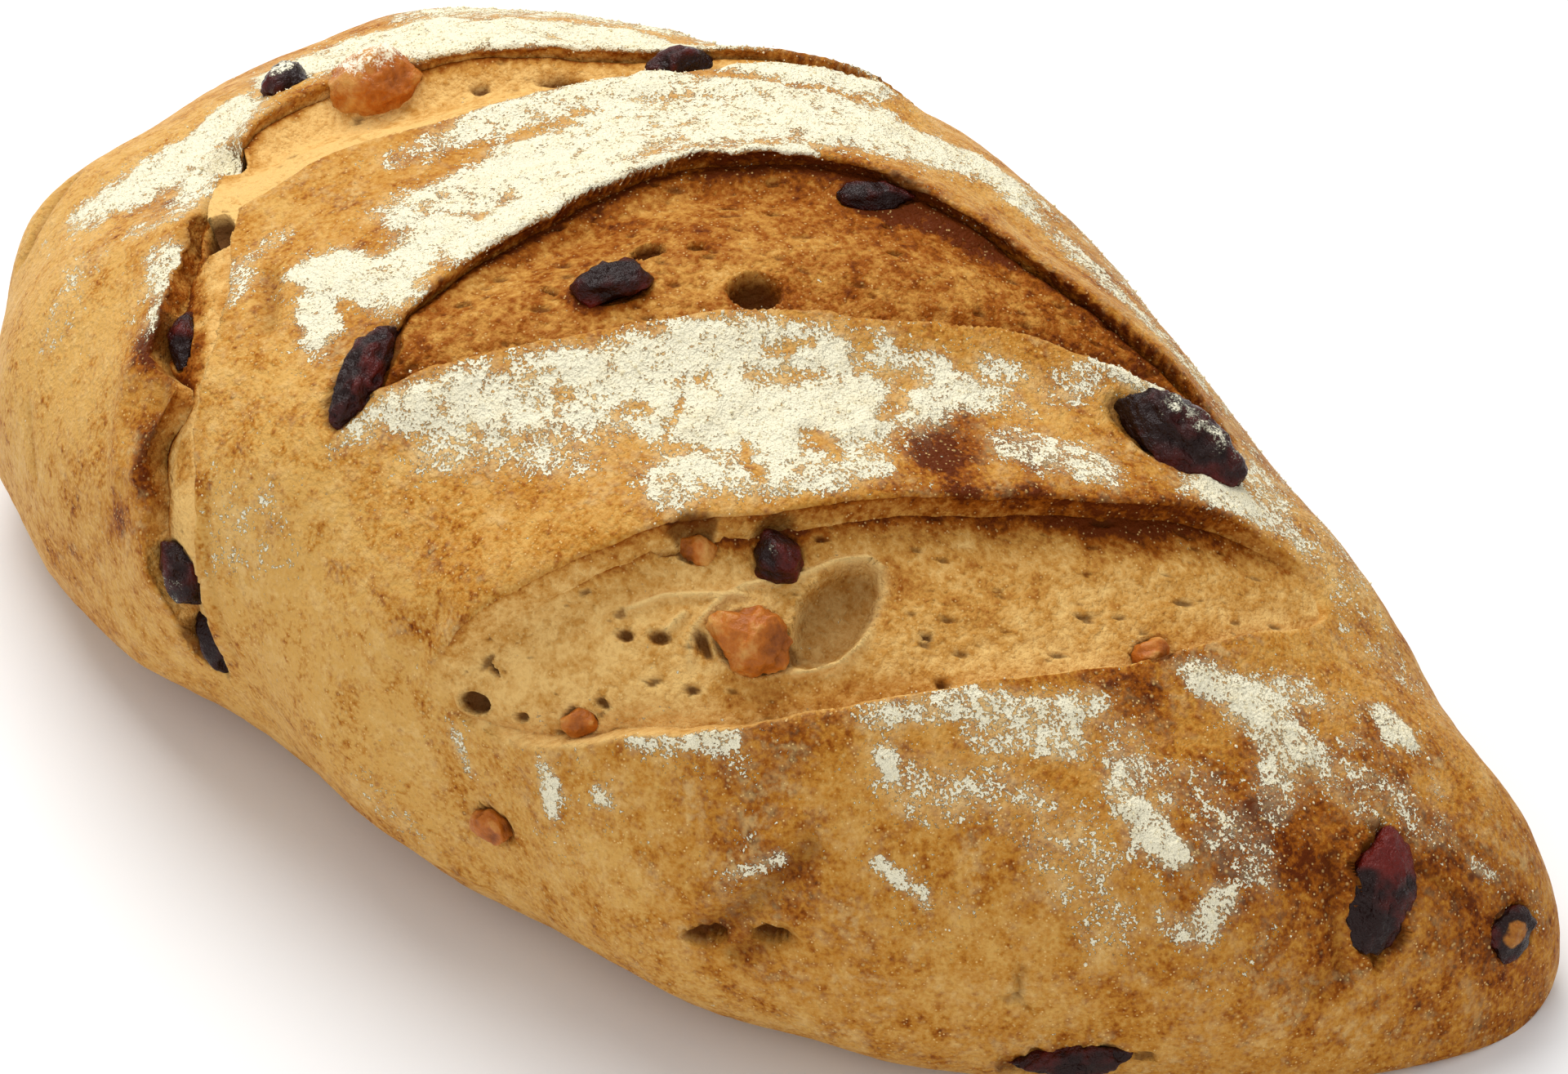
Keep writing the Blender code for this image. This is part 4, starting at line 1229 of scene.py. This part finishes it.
class Finish:
    """A material and the nodes behind its main shader."""

    def __init__(self, name):
        self.material = bpy.data.materials.new(name)
        self.material.use_nodes = True
        self.tree = self.material.node_tree
        self.shader = self.tree.nodes["Principled BSDF"]
        self.place = self.node("ShaderNodeTexCoord", {}, {}, "Object")

    def put(self, socket, value):
        """Link or set one input socket."""
        if isinstance(value, Value):
            self.tree.links.new(value.socket, socket)
        elif hasattr(socket.default_value, "__len__") and len(socket.default_value) == 4 and len(value) == 3:
            socket.default_value = (*value, 1.0)
        else:
            socket.default_value = value

    def node(self, kind, settings, inputs, output=0):
        """A node of a kind with its settings first, then the values or links of its sockets."""
        made = self.tree.nodes.new(kind)
        for name, setting in settings.items():
            if name == "stops":
                elements = made.color_ramp.elements
                for index, (where, colour) in enumerate(setting):
                    stop = elements[index] if index < 2 else elements.new(where)
                    stop.position = where
                    stop.color = (*colour, 1.0)
            else:
                setattr(made, name, setting)
        for name, value in inputs.items():
            self.put(made.inputs[name], value)
        return Value(self, made.outputs[output])

    def attribute(self, name):
        """A value stored at the mesh's points."""
        settings = {"attribute_type": "GEOMETRY", "attribute_name": name}
        return self.node("ShaderNodeAttribute", settings, {}, "Fac")

    def grain(self, scale, detail=3.0, roughness=0.55, stretch=None):
        """Noise from 0 to 1 with its features at a scale in turns per metre."""
        vector = self.place
        if stretch:
            vector = self.node("ShaderNodeVectorMath", {"operation": "MULTIPLY"}, {0: vector, 1: stretch})
        inputs = {"Vector": vector, "Scale": scale, "Detail": detail, "Roughness": roughness}
        return self.node("ShaderNodeTexNoise", {}, inputs, "Fac")

    def spread(self, value):
        """Noise stretched so that it fills the range from 0 to 1."""
        return self.node("ShaderNodeMapRange", {}, {"Value": value, "From Min": 0.30, "From Max": 0.70})

    def cells(self, scale):
        """The distance to scattered points at a scale in turns per metre."""
        return self.node("ShaderNodeTexVoronoi", {}, {"Vector": self.place, "Scale": scale}, "Distance")

    def mix(self, factor, first, second):
        """Two colours mixed by a factor."""
        return self.node("ShaderNodeMix", {"data_type": "RGBA"}, {0: factor, 6: first, 7: second}, 2)

    def ramp(self, value, *stops):
        """The colour of a value on a ramp of stops."""
        return self.node("ShaderNodeValToRGB", {"stops": stops}, {"Fac": value}, "Color")

    def bump(self, height, distance):
        """A Bump node over a height."""
        return self.node("ShaderNodeBump", {}, {"Height": height, "Distance": distance}, "Normal")

    def surface(self, **sockets):
        """Set or link the main shader's sockets, named with underscores."""
        for name, value in sockets.items():
            self.put(self.shader.inputs[name.replace("_", " ")], value)
        return self.material


def bread_finish(sizes):
    """The finish of crust and crumb: baked colours with some painted light and shade, specks, painted glints of
    highlight, stains, painted shade in pores, holes and creases, and flour.
    """
    finish = Finish("baked_bread")
    flour, toast, bare = (finish.attribute(name) for name in ("flour", "toast", "bare"))
    dark, lip = finish.attribute("dark"), finish.attribute("lip")
    broad, middle = finish.spread(finish.grain(60, 3)), finish.spread(finish.grain(240, 3))
    fine, dust = finish.spread(finish.grain(800, 3)), finish.spread(finish.grain(2600, 2))
    mottle = finish.spread(finish.grain(1500, 2))
    pale = 1 + (1 - toast * 2).rise(0.0, 1.0) * 0.9
    speckle = (middle - 0.5) * 0.30 + (fine - 0.5) * 0.36 + (mottle - 0.5) * 0.34
    baked = toast + (broad - 0.5) * 0.30 + speckle * pale
    crust = finish.ramp(
        baked, (0.0, sizes.crust_pale), (0.42, sizes.crust_golden), (0.70, sizes.crust_brown),
        (0.95, sizes.crust_dark),
    )
    blister = (1 - finish.cells(900).rise(0.08, 0.30)) * middle.rise(0.45, 0.8)
    # Painted highlights: tiny bright glints laid on the crust as pale specks.
    painted_glint = (1 - finish.cells(1600).rise(0.10, 0.30)) * fine.rise(0.35, 0.8)
    haze = finish.spread(finish.grain(170, 4, 0.7)).rise(0.25, 0.95) * fine.rise(0.15, 0.85) * 0.62
    haze = haze * (1 - toast.rise(0.48, 0.88))
    crust = finish.mix((blister * 0.6).most(painted_glint * 0.9).most(haze), crust, sizes.pale_speck_and_glint)
    streak = finish.spread(finish.grain(330, 4, 0.6, (1.0, 0.75, 1.0)))
    inner = toast + (streak - 0.5) * 0.36 + (broad - 0.5) * 0.3 + (fine - 0.5) * 0.28 + (mottle - 0.5) * 0.22
    crumb = finish.ramp(
        inner, (0.05, sizes.crumb_pale), (0.42, sizes.crumb_golden), (0.72, sizes.crust_brown),
        (0.98, sizes.crust_dark),
    )
    # Painted highlights: the same glints laid on the crumb.
    crumb = finish.mix(painted_glint * 0.7, crumb, sizes.pale_speck_and_glint)
    colour = finish.mix(bare, crust, crumb)
    # Pale near edges of the cuts, and the paler strings by the hollow, which are partly a painted highlight.
    colour = finish.mix(lip * 0.6, colour, sizes.pale_speck_and_glint)
    # Painted shade: pores, holes, pockets round the pieces and creases are darkened towards the near-black pore
    # colour.
    colour = finish.mix(dark * 0.92, colour, sizes.pore)
    clump = finish.spread(finish.grain(330, 3))
    loose = (fine * 0.34 + dust * 0.40 + clump * 0.26 - 0.5) * 1.7 + 0.5
    covered = (flour * 1.15 - 0.17 - loose).rise(-0.06, 0.08)
    thin = (flour * (0.6 + 0.8 * fine)).rise(0.15, 1.1) * 0.34
    powder = covered.most(thin)
    white = finish.mix((1 - covered * 0.8).most(clump * 0.5), sizes.flour, sizes.flour_shade)
    colour = finish.mix(powder, colour, white)
    height = fine * 0.55 + mottle * 0.35 + blister * 0.35 + covered * (0.6 + 0.8 * clump + 0.5 * dust)
    roughness = 0.50 + bare * 0.08 + covered * 0.38 + (middle - 0.5) * 0.15
    return finish.surface(
        Base_Color=colour, Roughness=roughness, Normal=finish.bump(height, 0.00040), Specular_IOR_Level=0.05,
    )


def cranberry_finish(sizes):
    """Dark wrinkled dried fruit, glossy, red where it is thin, with flour caught on some."""
    finish = Finish("dried_cranberry")
    flour, thin = finish.attribute("flour"), finish.attribute("thin")
    fine, broad = finish.grain(900, 4), finish.grain(240, 3)
    red = (thin + (broad - 0.5) * 1.1).rise(0.35, 1.0)
    colour = finish.mix(red, sizes.cranberry, sizes.cranberry_red)
    skin = finish.mix(finish.spread(fine), sizes.crust_golden, sizes.crust_brown)
    colour = finish.mix((finish.attribute("skin") * 1.4 - fine * 0.9).rise(0.0, 0.6), colour, skin)
    covered = (flour * 1.1 - (fine * 0.4 + finish.grain(3600, 2) * 0.3 + broad * 0.3)).rise(-0.02, 0.10)
    colour = finish.mix(covered, colour, sizes.flour)
    height = fine * 0.7 + finish.grain(3000, 2) * 0.2 + covered * 0.5
    return finish.surface(
        Base_Color=colour, Roughness=0.22 + covered * 0.6 + (fine - 0.5) * 0.3,
        Normal=finish.bump(height, 0.0010), Specular_IOR_Level=0.22,
    )


def walnut_finish(sizes):
    """Roasted nut, orange brown with darker skin."""
    finish = Finish("roasted_walnut")
    flour, thin = finish.attribute("flour"), finish.attribute("thin")
    fine, broad = finish.grain(1100, 4), finish.grain(330, 3)
    tone = thin + (broad - 0.5) * 0.9 + (fine - 0.5) * 0.5
    colour = finish.ramp(
        tone, (0.15, sizes.walnut_dark), (0.5, sizes.walnut), (0.85, sizes.walnut_light),
    )
    covered = (flour * 1.1 - (fine * 0.4 + finish.grain(3600, 2) * 0.3 + broad * 0.3)).rise(-0.02, 0.10)
    colour = finish.mix(covered, colour, sizes.flour)
    return finish.surface(
        Base_Color=colour, Roughness=0.42 + covered * 0.5, Normal=finish.bump(fine + broad * 0.6, 0.00035),
        Specular_IOR_Level=0.25,
    )


def flour_finish(sizes):
    """Dry flour."""
    finish = Finish("dry_flour")
    colour = finish.mix(finish.grain(700, 2), sizes.flour, sizes.flour_shade)
    powder = finish.bump(finish.grain(5000, 2), 0.0001)
    return finish.surface(Base_Color=colour, Roughness=0.95, Normal=powder)


def floor_finish(sizes):
    """A plain pale floor."""
    finish = Finish("pale_floor")
    even = finish.bump(finish.grain(700, 2), 0.00002)
    return finish.surface(Base_Color=sizes.floor, Roughness=0.9, Normal=even)


def colour_property(name, description, default):
    """A colour that a user can change."""
    return bpy.props.FloatVectorProperty(
        name=name, description=description, default=default, size=3, min=0.0, max=1.0, subtype="COLOR",
    )


class BreadSizes(bpy.types.PropertyGroup):
    """Sizes and colours of the bread and its stage."""

    crust_pale: colour_property("Pale crust", "Least baked crust", (0.66, 0.365, 0.092))
    crust_golden: colour_property("Golden crust", "Crust over most of the loaf", (0.50, 0.208, 0.026))
    crust_brown: colour_property("Brown crust", "Well baked crust", (0.30, 0.080, 0.005))
    crust_dark: colour_property("Dark crust", "Darkest baked crust", (0.11, 0.020, 0.002))
    # One pale colour for real blisters, flour haze and thin lips, and for the painted glints of highlight.
    pale_speck_and_glint: colour_property("Blister", "Small pale blisters and thin lips", (0.82, 0.55, 0.21))
    crumb_pale: colour_property("Pale crumb", "Least baked crumb in the cuts", (0.80, 0.50, 0.17))
    crumb_golden: colour_property("Golden crumb", "Crumb over most of a cut", (0.55, 0.26, 0.05))
    # Painted shade: the near-black brown laid in pores, holes, pockets and creases.
    pore: colour_property("Pore", "Inside of pores and hollows", (0.085, 0.020, 0.002))
    flour: colour_property("Flour", "Thick flour", (0.95, 0.90, 0.69))
    flour_shade: colour_property("Flour shade", "Thinner flour", (0.86, 0.72, 0.42))
    cranberry: colour_property("Cranberry", "Dried fruit", (0.016, 0.0040, 0.003))
    cranberry_red: colour_property("Cranberry edge", "Thin parts of dried fruit", (0.13, 0.010, 0.006))
    walnut: colour_property("Walnut", "Roasted nut", (0.47, 0.13, 0.010))
    walnut_dark: colour_property("Walnut skin", "Dark skin of the nut", (0.22, 0.055, 0.006))
    walnut_light: colour_property("Walnut light", "Lightest parts of the nut", (0.66, 0.33, 0.08))
    floor: colour_property("Floor", "Floor that the bread lies on", (0.90, 0.90, 0.90))
    grain_size: bpy.props.FloatProperty(
        name="Flour grain", description="Mean half width of a loose grain of flour", default=0.00010,
        min=0.00002, max=0.001, unit="LENGTH", precision=5,
    )
    grain_count: bpy.props.IntProperty(
        name="Flour grains", description="Loose grains of flour", default=12000, min=0, max=20000,
    )
    fruit_fold: bpy.props.FloatProperty(
        name="Fruit folds", description="Depth of the folds of dried fruit in millimetres", default=1.15,
        min=0.0, max=2.0,
    )
    key_power: bpy.props.FloatProperty(
        name="Key light", description="Power of the soft light above", default=10.0, min=0.0, unit="POWER",
    )
    fill_strength: bpy.props.FloatProperty(
        name="Fill", description="Strength of the even light all round", default=0.55, min=0.0,
    )


def keep(item, nodes=()):
    """Fasten a piece to the loaf's body and hide the nodes it stands for."""
    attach(item, "root")
    if nodes:
        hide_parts(*nodes)


def shared_finish(name, make, context):
    """A material by name, made once."""
    found = bpy.data.materials.get(name)
    return found or make(context.scene.bread)


class BREAD_OT_crust(bpy.types.Operator):
    """Build the crust with its ears, dents, holes and thick flour"""

    bl_idname = "bread.crust"
    bl_label = "Crust"

    def execute(self, context):
        t, angle = crust_places()
        place, values = crust_surface(t, angle)
        rows, columns = t.shape
        cloth = Cloth()
        cloth.add(place, grid_faces(rows, columns, True), values)
        for row in (0, rows - 1):
            ring = np.arange(columns) + row * columns
            middle = place[row].mean(axis=0)
            start = cloth.count
            means = {name: [value[row].mean()] for name, value in values.items()}
            cloth.add([middle], np.zeros((0, 3)), means)
            after = np.roll(ring, -1)
            fan = np.stack([np.full(columns, start), after, ring] if row == 0 else
                           [np.full(columns, start), ring, after], -1)
            cloth.faces.append((fan, 3))
        crust = cloth.make("crust", shared_finish("baked_bread", bread_finish, context))
        keep(crust, ("loaf",))
        return {"FINISHED"}


class BREAD_OT_crumb(bpy.types.Operator):
    """Build the bared crumb in the slashes and the torn side"""

    bl_idname = "bread.crumb"
    bl_label = "Crumb"

    def execute(self, context):
        cloth = Cloth()
        for index, cut in enumerate(CUTS):
            place, values = crumb_surface(cut, index)
            faces = grid_faces(*place.shape[:2])
            cloth.add(place, faces, values)
        keep(cloth.make("crumb", shared_finish("baked_bread", bread_finish, context)))
        return {"FINISHED"}


def dress(pieces, first_seed, wrinkle, fold, fold_size, facets):
    """Fruit or nut pieces joined in one mesh."""
    cloth = Cloth()
    for order, piece in enumerate(pieces):
        big = piece.long * piece.wide > BIG_PIECE
        detail, depth = (FRUIT_DETAIL, fold) if big else (FRUIT_DETAIL - 1, fold * SMALL_FOLD)
        points, faces, solid = piece_points(
            piece, wrinkle, first_seed + order, detail, depth, fold_size, facets,
        )
        away = np.linalg.norm(solid / np.array((piece.long, piece.wide, piece.deep)), axis=1)
        top = smooth(solid[:, 2] / piece.deep - 0.1)
        veil = VEILED.get(piece.name, 0.0)
        flour = FLOURED.get(piece.name, 0.0) * (veil + (1 - veil) * top)
        middle = np.hypot(solid[:, 0] / piece.long + 0.12, solid[:, 1] / piece.wide - 0.14)
        scrap = smooth(1.45 - 2.0 * middle) * (0.55 + 0.9 * noise(solid, 1.1, 3))
        skin = (piece.name == SKINNED) * scrap
        thin = np.clip(away * 0.9 - 0.45, 0, 1)
        thin = thin + (piece.name == RED_ENDED) * smooth(-2 * solid[:, 0] / piece.long - 0.5)
        cloth.add(points, faces, {"flour": flour, "thin": thin, "skin": skin})
    return cloth


class BREAD_OT_cranberries(bpy.types.Operator):
    """Build the dried cranberries"""

    bl_idname = "bread.cranberries"
    bl_label = "Cranberries"

    def execute(self, context):
        fold = context.scene.bread.fruit_fold
        cloth = dress(CRANBERRIES, 1, CRANBERRY_WRINKLE, fold, CRANBERRY_FOLD_SIZE, CRANBERRY_FACETS)
        item = cloth.make("cranberries", shared_finish("dried_cranberry", cranberry_finish, context))
        keep(item, [piece.name for piece in CRANBERRIES])
        return {"FINISHED"}


class BREAD_OT_walnuts(bpy.types.Operator):
    """Build the walnut pieces"""

    bl_idname = "bread.walnuts"
    bl_label = "Walnuts"

    def execute(self, context):
        first_seed = 1 + len(CRANBERRIES)
        cloth = dress(WALNUTS, first_seed, WALNUT_WRINKLE, WALNUT_FOLD, WALNUT_FOLD_SIZE, WALNUT_FACETS)
        item = cloth.make("walnuts", shared_finish("roasted_walnut", walnut_finish, context))
        keep(item, [piece.name for piece in WALNUTS])
        return {"FINISHED"}


class BREAD_OT_flour(bpy.types.Operator):
    """Scatter loose grains of flour over the floured crust"""

    bl_idname = "bread.flour"
    bl_label = "Loose flour"

    def execute(self, context):
        sizes = context.scene.bread
        crust = bpy.data.objects["crust"]
        mesh = crust.data
        count = len(mesh.vertices)
        points, normals, flour, bare = (np.empty(count * n) for n in (3, 3, 1, 1))
        mesh.vertices.foreach_get("co", points)
        mesh.vertices.foreach_get("normal", normals)
        mesh.attributes["flour"].data.foreach_get("value", flour)
        mesh.attributes["bare"].data.foreach_get("value", bare)
        points, normals = points.reshape(-1, 3), normals.reshape(-1, 3)
        draw = np.random.default_rng(21)
        chance = np.clip(flour - 0.12, 0, 0.6) ** 1.3 * (bare < 0.1) + STRAY * (normals[:, 2] > 0.3)
        picked = draw.choice(count, sizes.grain_count, p=chance / chance.sum())
        corners = np.array([(1, 0, 0), (-1, 0, 0), (0, 1, 0), (0, -1, 0), (0, 0, 1), (0, 0, -1)], float)
        sides = [(0, 2, 4), (2, 1, 4), (1, 3, 4), (3, 0, 4), (2, 0, 5), (1, 2, 5), (3, 1, 5), (0, 3, 5)]
        size = sizes.grain_size * draw.lognormal(0, GRAIN_VARIES, sizes.grain_count)
        shapes = corners[None] * draw.uniform(*GRAIN_CORNERS, (sizes.grain_count, 6, 1)) * size[:, None, None]
        turn = draw.normal(size=(sizes.grain_count, 3))
        side = unit(np.cross(turn, draw.normal(size=(sizes.grain_count, 3))))
        turn = unit(turn)
        third = np.cross(turn, side)
        axes = zip((turn, side, third), np.moveaxis(shapes, -1, 0))
        shapes = sum(part[..., None] * axis[:, None] for axis, part in axes)
        spread = draw.normal(size=(sizes.grain_count, 3)) * GRAIN_SPREAD * MM
        normal = normals[picked]
        spread -= normal * (spread * normal).sum(1, keepdims=True)
        centre = points[picked] + spread + normal * size[:, None] * GRAIN_LIFT - SHIFT
        cloth = Cloth()
        faces = (np.array(sides)[None] + 6 * np.arange(sizes.grain_count)[:, None, None]).reshape(-1, 3)
        cloth.add(centre[:, None] + shapes, faces, {})
        keep(cloth.make("flour_grains", shared_finish("dry_flour", flour_finish, context)))
        return {"FINISHED"}


class BREAD_OT_stage(bpy.types.Operator):
    """Set up the pale floor, the soft light and the camera"""

    bl_idname = "bread.stage"
    bl_label = "Stage"

    def execute(self, context):
        sizes = context.scene.bread
        bpy.ops.mesh.primitive_plane_add(size=FLOOR_SIZE)
        floor = context.object
        floor.name = "floor"
        floor.data.materials.append(floor_finish(sizes))
        aim = Vector(CAMERA_AIM) + Vector(SHIFT)
        back = Vector(VIEW)
        camera = bpy.data.objects.new("camera", bpy.data.cameras.new("camera"))
        context.scene.collection.objects.link(camera)
        camera.location = aim + back * CAMERA_DISTANCE
        camera.rotation_euler = (-back).to_track_quat("-Z", "Y").to_euler()
        camera.data.sensor_width = SENSOR_WIDTH
        camera.data.lens = CAMERA_LENS
        camera.data.clip_start = NEAREST
        context.scene.camera = camera
        for name, place, size, share in LIGHTS:
            light = bpy.data.lights.new(name, "AREA")
            light.energy = sizes.key_power * share
            light.size = size
            item = bpy.data.objects.new(name, light)
            context.scene.collection.objects.link(item)
            item.location = place
            item.rotation_euler = (Vector(LIGHTS_AIM) - Vector(place)).to_track_quat("-Z", "Y").to_euler()
        world = bpy.data.worlds.new("soft_room")
        world.use_nodes = True
        world.node_tree.nodes["Background"].inputs["Color"].default_value = (1.0, 1.0, 1.0, 1.0)
        world.node_tree.nodes["Background"].inputs["Strength"].default_value = sizes.fill_strength
        context.scene.world = world
        context.scene.view_settings.view_transform = "Standard"
        context.scene.view_settings.look = "None"
        return {"FINISHED"}


class BREAD_PT_sidebar(bpy.types.Panel):
    """Lists the bread's pieces and colours"""

    bl_label = "Cranberry walnut bread"
    bl_idname = "BREAD_PT_sidebar"
    bl_space_type = "VIEW_3D"
    bl_region_type = "UI"
    bl_category = "Bread"

    def draw(self, context):
        for operator in OPERATORS:
            self.layout.operator(operator.bl_idname)
        for name in BreadSizes.__annotations__:
            self.layout.prop(context.scene.bread, name)


OPERATORS = (
    BREAD_OT_crust, BREAD_OT_crumb, BREAD_OT_cranberries, BREAD_OT_walnuts, BREAD_OT_flour, BREAD_OT_stage,
)
CLASSES = (BreadSizes, *OPERATORS, BREAD_PT_sidebar)


def register():
    """Make the classes known and give the scene its sizes."""
    for item in CLASSES:
        bpy.utils.register_class(item)
    bpy.types.Scene.bread = bpy.props.PointerProperty(type=BreadSizes)


def unregister():
    """Take the classes and the scene's sizes away again."""
    del bpy.types.Scene.bread
    for item in reversed(CLASSES):
        bpy.utils.unregister_class(item)


def main():
    """Build every piece in order."""
    register()
    bpy.ops.bread.crust()
    bpy.ops.bread.crumb()
    bpy.ops.bread.cranberries()
    bpy.ops.bread.walnuts()
    bpy.ops.bread.flour()
    bpy.ops.bread.stage()


if __name__ == "__main__":
    main()
